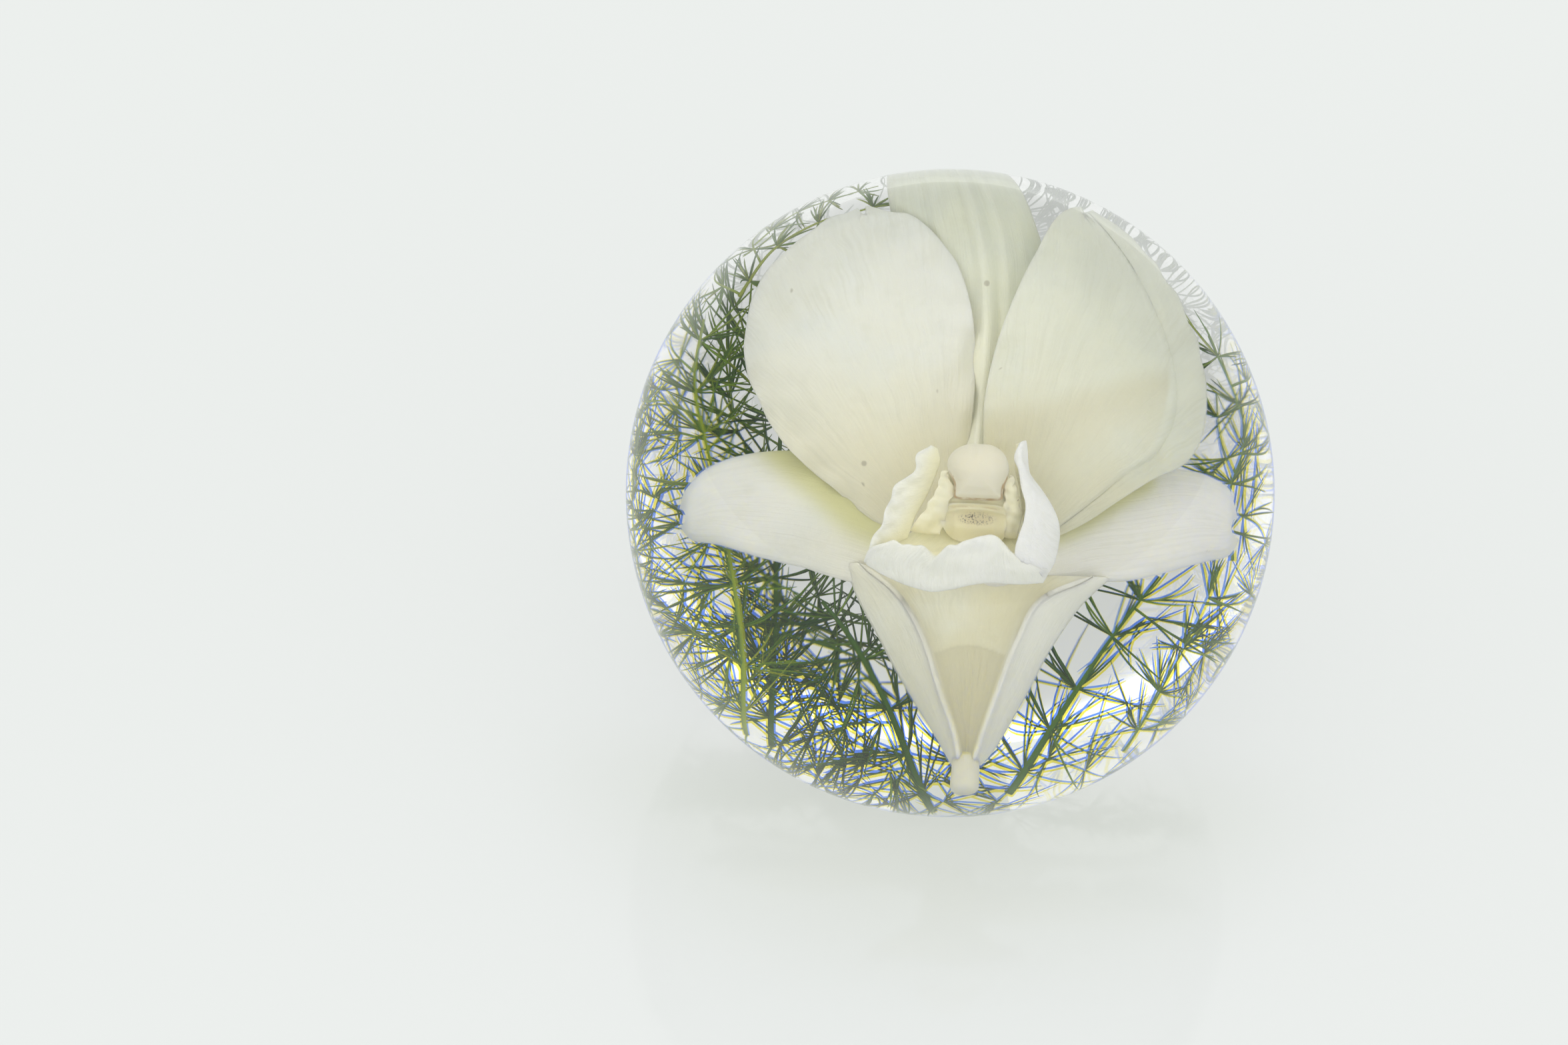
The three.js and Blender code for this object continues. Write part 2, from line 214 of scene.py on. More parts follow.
def organ(name, parts, material):
    verts, faces, leaf = parts
    return mesh_piece(name + "_shape", in_ball(verts), faces, material, [name], leaf)


def loft(rows, smoothing=None):
    """A surface through given rows of points: u runs along each row and v from row to row."""

    def surface(u, v):
        t = (u[0] + 1) / 2
        lines = np.stack([spline(row, t) for row in rows])
        points = spline(lines, v[:, 0])
        return points if smoothing is None else smoothing(points, u, v)

    return surface


def blade(left, right, relief):
    """A leaf between two given margins that run from its base to its tip. relief(u, v, x, y) is its Z."""

    def surface(u, v):
        share = blade_share(v[:, 0])
        start = spline(left, share)[:, None]
        end = spline(right, share)[:, None]
        t = ((u + 1) / 2)[..., None]
        plan = start + (end - start) * t
        x, y = plan[..., 0], plan[..., 1]
        return np.stack([x, y, relief(u, v, x, y)], axis=-1)

    return surface


# ---- Materials ----


class Graph:
    """A short way to write a material's or the world's node tree."""

    def __init__(self, name, world=False):
        self.owner = (bpy.data.worlds if world else bpy.data.materials).new(name)
        self.owner.use_nodes = True
        self.tree = self.owner.node_tree
        self.tree.nodes.clear()
        self.output = self.add("ShaderNodeOutputWorld" if world else "ShaderNodeOutputMaterial")

    def add(self, kind, inputs=None, **settings):
        node = self.tree.nodes.new(kind)
        for key, value in settings.items():
            setattr(node, key, value)
        for key, value in (inputs or {}).items():
            if isinstance(value, bpy.types.NodeSocket):
                self.tree.links.new(value, node.inputs[key])
            else:
                node.inputs[key].default_value = value
        return node

    def math(self, operation, a, b=0.0):
        return self.add("ShaderNodeMath", {0: a, 1: b}, operation=operation).outputs[0]

    def ramp(self, value, stops):
        """A colour ramp: stops are (position, colour)."""
        node = self.add("ShaderNodeValToRGB", {"Fac": value})
        elements = node.color_ramp.elements
        while len(elements) < len(stops):
            elements.new(0.5)
        for element, (position, colour) in zip(elements, stops):
            element.position = position
            element.color = (*colour, 1)
        return node.outputs["Color"]

    def mask(self, value, low, high):
        """0 below low, 1 above high."""
        node = self.add("ShaderNodeMapRange", {"Value": value, "From Min": low, "From Max": high})
        node.interpolation_type = "SMOOTHSTEP"
        return node.outputs["Result"]

    def mix(self, factor, a, b, blend="MIX"):
        node = self.add("ShaderNodeMix", data_type="RGBA", blend_type=blend)
        for key, value in ((0, factor), (6, a), (7, b)):
            if isinstance(value, bpy.types.NodeSocket):
                self.tree.links.new(value, node.inputs[key])
            else:
                node.inputs[key].default_value = value if key == 0 else (*value, 1)
        return node.outputs[2]

    def noise(self, vector, scale, detail=3.0, roughness=0.5):
        inputs = {"Vector": vector, "Scale": scale, "Detail": detail, "Roughness": roughness}
        return self.add("ShaderNodeTexNoise", inputs).outputs["Fac"]

    def scaled(self, vector, scale):
        return self.add("ShaderNodeMapping", {"Vector": vector, "Scale": scale}).outputs["Vector"]

    def place(self):
        return self.add("ShaderNodeTexCoord").outputs["Object"]

    def leaf(self):
        """The three coordinates of the leaf attribute, and the whole vector. On sheets they are across, along and
        shade; shade carries a sheet's own tints and, on some sheets, painted shade and painted light.
        """
        node = self.add("ShaderNodeAttribute", attribute_name="leaf")
        parts = self.add("ShaderNodeSeparateXYZ", {0: node.outputs["Vector"]})
        return parts.outputs[0], parts.outputs[1], parts.outputs[2], node.outputs["Vector"]

    def finish(self, shader):
        self.tree.links.new(shader, self.output.inputs["Surface"])
        return self.owner


def clear_resin():
    """Clear cast resin, polished.

    Seen straight by the camera, its slanting parts split light into a warm and a cool half with slightly different
    indices. This stands for dispersion, and is not a physical model of it.
    """
    g = Graph("clear_resin")
    plain = g.add("ShaderNodeBsdfPrincipled", {
        "Base Color": (1, 1, 1, 1),
        "Roughness": 0.0,
        "IOR": RESIN_IOR,
        "Transmission Weight": 1.0,
    }).outputs[0]
    halves = ((0.93, 0.80, 0.06, 1), RESIN_IOR - DISPERSION), ((0.07, 0.20, 0.94, 1), RESIN_IOR + DISPERSION)
    warm, cool = (
        g.add("ShaderNodeBsdfRefraction", {"Color": colour, "Roughness": 0.0, "IOR": ior}).outputs[0]
        for colour, ior in halves
    )
    bent = g.add("ShaderNodeAddShader", {0: warm, 1: cool}).outputs[0]
    mirror = g.add("ShaderNodeBsdfGlossy", {"Color": (1, 1, 1, 1), "Roughness": 0.0}).outputs[0]
    share = g.add("ShaderNodeFresnel", {"IOR": RESIN_IOR}).outputs[0]
    split = g.add("ShaderNodeMixShader", {0: share, 1: bent, 2: mirror}).outputs[0]
    slant = g.mask(g.add("ShaderNodeLayerWeight", {"Blend": 0.5}).outputs["Facing"], *SPLIT_SLANTS)
    height = g.add("ShaderNodeSeparateXYZ", {0: g.place()}).outputs[2]
    slant = g.math("MULTIPLY", slant, g.mask(height, *SPLIT_HEIGHTS))
    split = g.add("ShaderNodeMixShader", {0: slant, 1: plain, 2: split}).outputs[0]
    seen = g.add("ShaderNodeLightPath").outputs["Is Camera Ray"]
    return g.finish(g.add("ShaderNodeMixShader", {0: seen, 1: plain, 2: split}).outputs[0])


SUBSURFACE_SCALE = 0.0006
VEIN_TONE = (0.60, 0.60, 0.46)
VEIN_DRIFT = (0.09, 0.09, 0)


def petal_material(name, base, tip, deep, cool):
    """A dried white petal: soft mottling, faint veins that come and go, and a few dark specks."""
    g = Graph(name)
    _, along, shade, leaf = g.leaf()
    place = g.place()
    cloud = g.noise(place, 260, 4)
    tone = g.mix(g.mask(g.math("ADD", along, g.math("MULTIPLY", cloud, 0.4)), 0.25, 0.95), base, tip)
    tone = g.mix(g.mask(g.noise(place, 130, 3), 0.45, 0.75), tone, cool)
    # The shade coordinate blends in the deep and cool colours. On the petals' bases and the lip these are the
    # flower's own colours; on the sepals, the chin and the right petal they include painted shade and painted
    # light.
    tone = g.mix(g.mask(shade, 0.0, 1.0), tone, deep)
    tone = g.mix(g.mask(shade, 0.0, -1.0), tone, cool)
    drift = g.add("ShaderNodeTexNoise", {"Vector": place, "Scale": 240, "Detail": 3}).outputs["Color"]
    wander = g.add("ShaderNodeVectorMath", {0: drift, 1: VEIN_DRIFT, 2: leaf}, operation="MULTIPLY_ADD")
    leaf = wander.outputs[0]
    veins = g.noise(g.scaled(leaf, (15, 1.1, 0)), 1.0, 5, 0.65)
    fine = g.noise(g.scaled(leaf, (70, 6, 0)), 1.0, 3, 0.6)
    streak = g.math("ADD", g.math("MULTIPLY", veins, 0.5), g.math("MULTIPLY", fine, 0.5))
    patchy = g.mask(g.noise(place, 170, 2), 0.38, 0.62)
    vein = g.math("MULTIPLY", g.mask(streak, 0.44, 0.6), patchy)
    tone = g.mix(g.math("MULTIPLY", vein, 0.16), tone, VEIN_TONE)
    blotch = g.mask(g.noise(place, 620, 4, 0.65), 0.5, 0.7)
    tone = g.mix(g.math("MULTIPLY", blotch, 0.08), tone, VEIN_TONE)
    specks = g.add("ShaderNodeTexVoronoi", {"Vector": place, "Scale": 330}).outputs["Distance"]
    sparse = g.mask(g.noise(place, 420, 1), 0.62, 0.66)
    speck = g.math("MULTIPLY", g.mask(specks, 0.10, 0.05), sparse)
    tone = g.mix(g.math("MULTIPLY", speck, 0.5), tone, (0.30, 0.27, 0.17))
    cells = g.noise(place, 2600, 2)
    relief = g.math("ADD", g.math("MULTIPLY", streak, 0.8), g.math("MULTIPLY", cells, 0.15))
    bump = g.add("ShaderNodeBump", {"Height": relief, "Strength": 0.5, "Distance": 0.0004})
    shader = g.add("ShaderNodeBsdfPrincipled", {
        "Base Color": tone,
        "Roughness": g.math("ADD", 0.55, g.math("MULTIPLY", cells, 0.2)),
        "Specular IOR Level": 0.12,
        "Subsurface Weight": 0.5,
        "Subsurface Radius": (1.0, 0.97, 0.8),
        "Subsurface Scale": SUBSURFACE_SCALE,
        "Normal": bump.outputs[0],
    })
    return g.finish(shader.outputs[0])


def cream_material(name, base, shade):
    """The column's and the cap's waxy cream, with fine grain and tiny brown specks.

    The mark coordinate stains the stigma hollow above 0, and the folds and the cap's seam below 0.
    """
    g = Graph(name)
    place = g.place()
    grain = g.noise(place, 1800, 4, 0.7)
    tone = g.mix(g.noise(place, 300, 3), base, shade)
    specks = g.add("ShaderNodeTexVoronoi", {"Vector": place, "Scale": 700}).outputs["Distance"]
    sparse = g.mask(g.noise(place, 900, 1), 0.6, 0.66)
    speck = g.math("MULTIPLY", g.mask(specks, 0.14, 0.08), sparse)
    tone = g.mix(g.math("MULTIPLY", speck, 0.6), tone, (0.25, 0.15, 0.07))
    _, _, mark, _ = g.leaf()
    tone = g.mix(g.math("MULTIPLY", g.mask(mark, 0.1, 0.9), 0.35), tone, (0.50, 0.40, 0.20))
    grains = g.add("ShaderNodeTexVoronoi", {"Vector": place, "Scale": 6400}).outputs["Distance"]
    grains = g.math("MULTIPLY", g.mask(grains, 0.6, 0.25), g.mask(g.noise(place, 1000, 4, 0.8), 0.36, 0.60))
    tone = g.mix(g.math("MULTIPLY", g.mask(mark, 0.25, 0.8), grains), tone, (0.08, 0.07, 0.045))
    seam = g.math("MULTIPLY", g.mask(mark, -0.1, -0.9), g.mask(g.noise(place, 1100, 3), 0.3, 0.6))
    tone = g.mix(seam, tone, (0.50, 0.34, 0.15))
    bump = g.add("ShaderNodeBump", {"Height": grain, "Strength": 0.35, "Distance": 0.0001})
    shader = g.add("ShaderNodeBsdfPrincipled", {
        "Base Color": tone,
        "Roughness": g.math("ADD", 0.45, g.math("MULTIPLY", grain, 0.2)),
        "Specular IOR Level": 0.15,
        "Subsurface Weight": 0.4,
        "Subsurface Radius": (1.0, 0.9, 0.6),
        "Subsurface Scale": SUBSURFACE_SCALE,
        "Normal": bump.outputs[0],
    })
    return g.finish(shader.outputs[0])


def fern_material():
    """Fern green: each needle has its own tint, from dark green to yellow-green."""
    g = Graph("fern_green")
    tint, along, _, _ = g.leaf()
    tone = g.ramp(tint, [
        (0.0, (0.016, 0.070, 0.006)),
        (0.4, (0.080, 0.190, 0.008)),
        (0.75, (0.20, 0.34, 0.012)),
        (1.0, (0.40, 0.47, 0.03)),
    ])
    tone = g.mix(g.math("MULTIPLY", g.noise(g.place(), 900, 3), 0.3), tone, (0.02, 0.06, 0.008))
    bump = g.add("ShaderNodeBump", {"Height": g.noise(g.place(), 4000, 2), "Strength": 0.2, "Distance": 0.0001})
    shader = g.add("ShaderNodeBsdfPrincipled", {
        "Base Color": tone,
        "Roughness": g.math("ADD", 0.5, g.math("MULTIPLY", along, 0.2)),
        "Specular IOR Level": 0.1,
        "Normal": bump.outputs[0],
    })
    return g.finish(shader.outputs[0])


RESIN = clear_resin()
# Each organ's base, tip, deep and cool colours.
PETAL = petal_material(
    "ivory_petal", (0.83, 0.81, 0.67), (0.88, 0.89, 0.79), (0.80, 0.76, 0.56), (0.84, 0.86, 0.79)
)
# The right petal's colours are a darker copy of the left petal's: painted shade. Its deep colour also paints a
# shade band across it.
RIGHT_PETAL_SHADED = petal_material(
    "right_petal_painted_darker", (0.78, 0.76, 0.59), (0.83, 0.85, 0.72), (0.71, 0.68, 0.49), (0.77, 0.79, 0.68)
)
# The dorsal sepal's deep colour is a painted lighter cream along the shaded slot between the petals.
DORSAL = petal_material(
    "dorsal_sepal", (0.90, 0.90, 0.70), (0.78, 0.81, 0.69), (0.98, 0.96, 0.74), (0.74, 0.77, 0.68)
)
# The left side sepal's olive deep colour is painted shade along the crease under the left petal's edge.
SEPAL = petal_material(
    "side_sepal", (0.93, 0.90, 0.76), (0.93, 0.94, 0.85), (0.72, 0.71, 0.37), (0.88, 0.89, 0.80)
)
# The right sepal's colours are a lighter copy of the side sepal's: painted light where the petals above shade it.
# Its deep colour is painted shade along the crease under the right petal's edge.
RIGHT_SEPAL_LIT = petal_material(
    "right_sepal_painted_lighter", (0.97, 0.95, 0.84), (0.97, 0.97, 0.90), (0.80, 0.79, 0.50), (0.96, 0.96, 0.90)
)
# The chin's deep colour is painted shade in the trough below the panel's edge. Its cool colour is the flower's
# whiter tone on the panel and the fold flanks, laid on the right flank more than the left as painted light.
CHIN = petal_material(
    "chin", (0.88, 0.84, 0.63), (0.90, 0.87, 0.68), (0.79, 0.76, 0.58), (0.97, 0.96, 0.82)
)
LIP = petal_material(
    "lip_white", (0.94, 0.90, 0.66), (0.90, 0.91, 0.81), (0.95, 0.90, 0.61), (0.96, 0.97, 0.90)
)
COLUMN = cream_material("column_cream", (0.94, 0.89, 0.66), (0.93, 0.87, 0.58))
CAP = cream_material("cap_cream", (0.83, 0.80, 0.64), (0.80, 0.75, 0.56))
FERN = fern_material()

# ---- Resin ----


BALL_STEPS = 150
BALL_TURNS = 256


def resin_ball():
    """The polished ball with its ground flat and the flat's small bevel."""
    flat_angle = math.asin(BALL_CENTRE / BALL_RADIUS)
    profile = [(0.0, 0.0)]
    rim = BALL_RADIUS * math.cos(flat_angle)
    bevel_angle = flat_angle - FLAT_BEVEL / BALL_RADIUS
    profile += [(rim * s, 0.0) for s in (0.35, 0.7, 0.9)]
    profile.append((rim - FLAT_BEVEL, 0.0))
    for k in range(BALL_STEPS + 1):
        angle = -bevel_angle + (math.pi / 2 + bevel_angle) * k / BALL_STEPS
        profile.append((BALL_RADIUS * math.cos(angle), BALL_CENTRE + BALL_RADIUS * math.sin(angle)))
    profile[-1] = (0.0, BALL_TOP)
    turns = BALL_TURNS
    angles = np.arange(turns) * 2 * math.pi / turns
    verts = [(0, 0, 0)]
    for radius, height in profile[1:-1]:
        verts += [(radius * math.cos(a), radius * math.sin(a), height) for a in angles]
    verts.append((0, 0, BALL_TOP))
    last = len(verts) - 1
    faces = []
    rings = len(profile) - 2
    for j in range(turns):
        n = (j + 1) % turns
        faces.append([0, 1 + n, 1 + j])
        for k in range(rings - 1):
            low = 1 + k * turns
            faces.append([low + j, low + n, low + turns + n, low + turns + j])
        top = 1 + (rings - 1) * turns
        faces.append([top + j, top + n, last])
    nodes = ["resin_base", "resin_middle", "resin_dome"]
    return mesh_piece("resin_ball", np.array(verts, float), faces, RESIN, nodes)


# ---- Flower ----


def petal_relief(seed, level, line=None):
    """A dished petal with broad swells, a crimped margin and, where line is given, a step back along that line."""
    swell = ripples(seed, 6, 8, 20)
    crimp = ripples(seed + 1, 8, 2.2, 6)
    vein = ripples(seed + 2, 10, 0.10, 0.4)
    wrinkle = ripples(seed + 3, 10, 0.9, 2.4)

    def relief(u, v, x, y):
        share = blade_share(v)
        z = level + 1.9 * np.sin(math.pi * share) ** 2 - 1.7 * u * u * share - 0.8 * share**3
        z += 0.35 * swell(x, y) + 0.32 * np.abs(u) ** 3 * crimp(x, y)
        z += 0.02 * vein(u, 0.1 * share) + 0.05 * ease(np.abs(u), 0.3, 0.95) * wrinkle(0.3 * x, y)
        if line is not None:
            at = line - 0.45 * ease(share, 0.55, 0.95)
            z -= 0.45 * ease(u, at, at + 0.05)
        return z

    return relief


def fanned(parts, foot):
    """The same sheet with veins that fan out from its foot: the across coordinate becomes the angle there."""
    verts, faces, leaf = parts
    leaf[:, 0] = 1.2 * np.arctan2(verts[:, 0] - foot[0], verts[:, 1] - foot[1])
    return verts, faces, leaf


def cream_base(reach):
    """Cream near a petal's base, fading over that share of its length."""

    def shade(u, v, x, y):
        return 1 - ease(blade_share(v), 0, reach)

    return shade


# Painted crease shading: a tint along a crease under or between other sheets. The side sepals take it as painted
# shade under the petals' edges. The dorsal sepal takes it as a painted lighter cream in the shaded slot between the
# petals.
def painted_crease_shading(points, width):
    """1 along a line of given points, fading over that width."""
    line = spline(points, np.linspace(0, 1, 60))

    def shade(u, v, x, y):
        gap = np.hypot(x[..., None] - line[:, 0], y[..., None] - line[:, 1]).min(axis=-1)
        return np.exp(-((gap / width) ** 2))

    return shade


def petal_left():
    outer = [
        (-1.2, -3.6), (-4.9, -2.7), (-9.2, 0.2), (-13.3, 3.5), (-16.1, 8.0), (-16.8, 12.2), (-15.6, 16.6),
        (-12.2, 19.8), (-8.2, 21.6),
    ]
    inner = [
        (0.6, -3.2), (1.2, 0.4), (1.3, 4.0), (1.5, 7.4), (1.4, 10.8), (0.9, 14.4), (-0.7, 18.2), (-3.8, 21.1),
        (-7.6, 21.7),
    ]
    surface = blade(outer, inner, petal_relief(11, -4.3))
    return fanned(sheet_parts(surface, 110, 130, PETAL_THICKNESS, cream_base(0.75)), (0.5, -5.5))


def petal_right():
    inner = [
        (3.6, -3.2), (2.8, 0.4), (2.5, 4.2), (2.4, 7.6), (2.9, 11.2), (4.0, 15.2), (5.7, 19.4), (7.4, 22.8),
        (9.6, 24.6),
    ]
    outer = [
        (5.4, -3.6), (9.2, -2.5), (12.8, -0.1), (15.8, 2.0), (18.5, 3.3), (20.0, 5.3), (20.5, 8.8), (19.9, 13.0),
        (17.6, 17.6), (14.0, 21.7), (10.5, 24.4),
    ]
    relief = petal_relief(14, -2.5, 0.66)
    base = cream_base(0.85)

    def shade(u, v, x, y):
        # A painted shade band across the petal, just below a slanting line.
        below = 6.3 + 0.35 * (x - 3) - y
        painted_shade_band = 0.4 * ease(below, -1.2, 1.2) * (1 - ease(below, 1.2, 6))
        outside = ease(u, 0.60, 0.68) * ease(v, 0.3, 0.55)
        return np.clip(0.5 * base(u, v, x, y) + painted_shade_band - 0.8 * outside, -1, 1)

    return fanned(sheet_parts(blade(inner, outer, relief), 110, 130, PETAL_THICKNESS, shade), (4.2, -5.5))


def dorsal_sepal():
    left = [(-1.2, 1.0), (-2.2, 6), (-3.4, 12), (-4.8, 18), (-6.0, 23), (-6.4, 27), (-4.8, 29.2), (-1.6, 29.9)]
    right = [(3.8, 1.0), (5.0, 6), (6.0, 12), (6.1, 17), (5.0, 21), (3.2, 25), (1.6, 28.6), (-1.0, 30)]
    swell = ripples(21, 6, 6, 16)

    def relief(u, v, x, y):
        share = blade_share(v)
        z = -4.9 - 9.4 * share**3 - 1.1 * u * u + 0.25 * swell(x, y)
        z += 0.6 * hump(u, 0.2, 0.10) + 0.35 * hump(u, 0.5, 0.09)
        z += 0.25 * hump(u, -0.35, 0.08)
        z += 1.6 * hump(x, 2.0, 1.4) * (1 - ease(y, 9, 16))
        return z - 0.8 * ease(u, 0.75, 1) * hump(y, 18, 2)

    # Painted light: a lighter cream along the slot between the petals, where they shade the sepal.
    shade = painted_crease_shading([(1.9, 1), (1.9, 5), (2.0, 10)], 3.4)
    return sheet_parts(blade(left, right, relief), 90, 100, PETAL_THICKNESS, shade)


def lateral_sepal(upper, lower, fold, fold_width, seed):
    swell = ripples(seed, 6, 6, 14)
    crimp = ripples(seed + 1, 8, 1.8, 5)

    def relief(u, v, x, y):
        share = blade_share(v)
        low = ease(np.abs(u), 0.7, 1.0)
        z = -5.4 + 0.9 * (1 - u * u) - 1.7 * share**2 + 0.2 * swell(x, y)
        return z + 0.12 * low * crimp(x, y) - 0.5 * low * ease(share, 0.5, 0.9)

    margins = (upper, lower) if lower[-1][0] > 0 else (lower, upper)
    # fold and fold_width place the painted shade under the petal's edge.
    return sheet_parts(blade(*margins, relief), 60, 110, PETAL_THICKNESS, painted_crease_shading(fold, fold_width))


def lateral_sepal_left():
    upper = [
        (2.4, -1.4), (-4, 0.8), (-8.2, 2.2), (-12.4, 2.7), (-16.0, 2.1), (-18.5, 1.0), (-19.8, -0.5), (-20.2, -2.1),
    ]
    lower = [
        (2.4, -7.2), (-4, -7.4), (-7.4, -6.9), (-10.6, -6.1), (-14.2, -5.5), (-17.2, -4.7), (-19.3, -4.4),
        (-20.1, -3.4),
    ]
    return lateral_sepal(upper, lower, [(-3.5, -3.4), (-6.5, -1.9), (-9.2, 0.2), (-12.6, 2.9)], 2.1, 24)


def lateral_sepal_right():
    upper = [(1.8, -1.6), (7.5, 0.4), (11.5, 1.8), (14.5, 2.6), (17.3, 3.0), (19.6, 2.6), (21.2, 1.6), (21.8, -0.4)]
    lower = [
        (1.8, -7.0), (7.6, -7.0), (11, -6.0), (14.4, -5.6), (17.2, -4.8), (19.8, -3.9), (21.6, -3.3),
        (22.1, -2.0),
    ]
    return lateral_sepal(upper, lower, [(7.5, -2.6), (9.6, -1.6), (12.6, 0.6), (14.4, 1.9)], 1.3, 27)


# The edge across the chin's trough, below which it steps back and is painted darker as shade, and how much it bows.
CHIN_PANEL_END = -11.0
CHIN_PANEL_BOW = 0.13
# The chin's levels, from its top to its spur: Y, and X and Z of the left margin, the left fold's two sides,
# the trough's left, middle and right, the right fold's two sides and the right margin.
CHIN_LEVELS = [
    (-5.8, [
        (-7.6, -5.6), (-6.6, -4.5), (-6.2, -4.4), (-3, -4.5), (2.3, -4.8), (7.5, -4.5), (11.0, -4.3),
        (11.5, -4.4), (12.6, -5.4),
    ]),
    (-8.2, [
        (-6.5, -6.2), (-3.9, -2.5), (-3.5, -2.5), (-1.6, -4.1), (2.6, -5.0), (6.0, -4.1), (7.5, -2.3),
        (7.9, -2.3), (10.3, -5.9),
    ]),
    (-11.4, [
        (-4.5, -6.9), (-1.8, -2.8), (-1.4, -2.8), (-0.2, -4.7), (2.6, -5.7), (4.9, -4.7), (5.9, -2.7),
        (6.3, -2.7), (8.3, -6.5),
    ]),
    (-15.0, [
        (-2.2, -7.5), (-0.3, -4.0), (0.0, -4.0), (0.8, -5.6), (2.5, -6.4), (4.0, -5.6), (4.7, -3.9),
        (5.0, -3.9), (6.6, -7.2),
    ]),
    (-18.6, [
        (0.2, -7.8), (1.3, -5.5), (1.5, -5.5), (1.9, -6.3), (2.5, -6.8), (3.2, -6.3), (3.6, -5.4), (3.8, -5.4),
        (4.8, -7.7),
    ]),
    (-20.8, [
        (1.4, -7.5), (1.9, -6.4), (2.0, -6.4), (2.2, -6.6), (2.5, -6.7), (2.8, -6.6), (3.0, -6.4), (3.1, -6.4),
        (3.6, -7.4),
    ]),
]


def mentum():
    """The chin: a trough between two sharp folds whose outer flanks fall back, and its spur."""
    grain = ripples(33, 10, 0.25, 0.8)
    swell = ripples(34, 5, 4, 10)

    def fibres(points, u, v):
        points = points.copy()
        x, y = points[..., 0], points[..., 1]
        below = CHIN_PANEL_END - CHIN_PANEL_BOW * (x - 2.4) ** 2 - y
        inside = 1 - ease(np.abs(u), 0.34, 0.46)
        points[..., 2] += 0.03 * grain(x, 0.08 * y) + 0.15 * swell(x, y) - 0.22 * inside * ease(below, 0, 0.3)
        return points

    # Painted shade darkens the trough below the panel's edge. The fold flanks take the whiter cool colour, their
    # own tone, the right flank fully and the left at 0.45 as painted light.
    def shade(u, v, x, y):
        below = CHIN_PANEL_END - CHIN_PANEL_BOW * (x - 2.4) ** 2 - y
        inside = 1 - ease(np.abs(u), 0.36, 0.5)
        dark = ease(below, 0, 0.25)
        return inside * (0.9 * dark - 0.1 * (1 - dark)) - ease(np.abs(u), 0.60, 0.66) * np.where(u > 0, 1.0, 0.45)

    rows = [[(x, y + 0.25 * abs(k - 4) / 4, z) for k, (x, z) in enumerate(level)] for y, level in CHIN_LEVELS]
    trough = sheet_parts(loft(rows, fibres), 120, 90, PETAL_THICKNESS, shade)
    rings, turns = 24, 28
    t, a = np.meshgrid(np.linspace(0, 1, rings), np.linspace(0, 2 * math.pi, turns + 1)[:-1], indexing="ij")
    radius = 1.15 * np.sqrt(np.maximum(1 - (2 * t - 1) ** 6, 0.002)) * (0.9 + 0.14 * t)
    x = 2.45 + 0.1 * t + radius * np.cos(a)
    z = -6.7 + 0.85 * radius * np.sin(a)
    points = np.stack([x, -19.6 - 4.2 * t, z], axis=-1).reshape(-1, 3)
    faces = ring_faces(rings, turns)
    faces += [list(range(turns))[::-1], [(rings - 1) * turns + j for j in range(turns)]]
    leaf = np.stack([np.cos(a), 0.9 + 0.1 * t, np.zeros_like(t)], axis=-1).reshape(-1, 3)
    return joined([trough, (points, faces, leaf)])


def lip_midlobe():
    """The lip's front: it leaves the column's foot, floors the cup, rises to a crest and folds down outside."""
    rows = [
        [(-1.2, -2.4, 1.6), (0.6, -2.6, 1.3), (2.2, -2.6, 1.2), (3.8, -2.6, 1.3), (5.2, -2.4, 1.6)],
        [(-4.2, -4.3, 3.4), (-1, -4.6, 2.8), (2.2, -4.6, 2.7), (5, -4.6, 2.9), (7.2, -4.4, 3.4)],
        [(-5.8, -5.2, 5.0), (-2.2, -5.4, 4.8), (1.6, -5.0, 4.8), (4.4, -4.8, 4.9), (7.0, -5.4, 5.1)],
        [
            (-6.9, -6.3, 5.7), (-6.2, -5.2, 6.2), (-4.9, -4.85, 6.5), (-3.2, -4.9, 6.7), (-1.9, -5.2, 6.7),
            (-1.0, -5.95, 6.4), (-0.2, -5.2, 6.8), (0.8, -4.65, 6.9), (2.2, -4.3, 7.0), (3.1, -3.75, 7.0),
            (4.1, -3.85, 6.9), (5.0, -4.5, 6.8), (5.9, -5.3, 6.5), (8.5, -6.0, 5.2),
        ],
        [
            (-6.8, -6.5, 5.5), (-5.9, -6.1, 5.9), (-4.6, -6.2, 6.2), (-2.6, -6.5, 6.4), (-1.0, -7.1, 5.9),
            (0.4, -6.6, 6.4), (2.2, -6.2, 6.6), (4.0, -6.1, 6.5), (6.0, -6.4, 6.2), (8.8, -6.5, 5.0),
        ],
        [
            (-6.7, -6.6, 5.3), (-5.6, -7.3, 5.3), (-4.2, -7.9, 5.4), (-2.6, -8.4, 5.4), (-1.0, -8.65, 5.2),
            (0.6, -8.4, 5.5), (2.4, -7.9, 5.5), (4.2, -7.6, 5.4), (6.2, -7.6, 5.1), (8.4, -7.3, 4.5),
        ],
    ]
    crimp = ripples(51, 8, 1.2, 3.5)

    def frill(points, u, v):
        points = points.copy()
        points[..., 2] += 0.1 * ease(v, 0.4, 0.6) * crimp(points[..., 0], points[..., 1])
        points[..., 1] += 0.12 * hump(v, 0.62, 0.1) * crimp(points[..., 0] * 1.7, 0 * v)
        return points

    return sheet_parts(loft(rows, frill), 130, 80, LIP_THICKNESS, lambda u, v, x, y: 1 - 1.1 * ease(v, 0.5, 0.62))


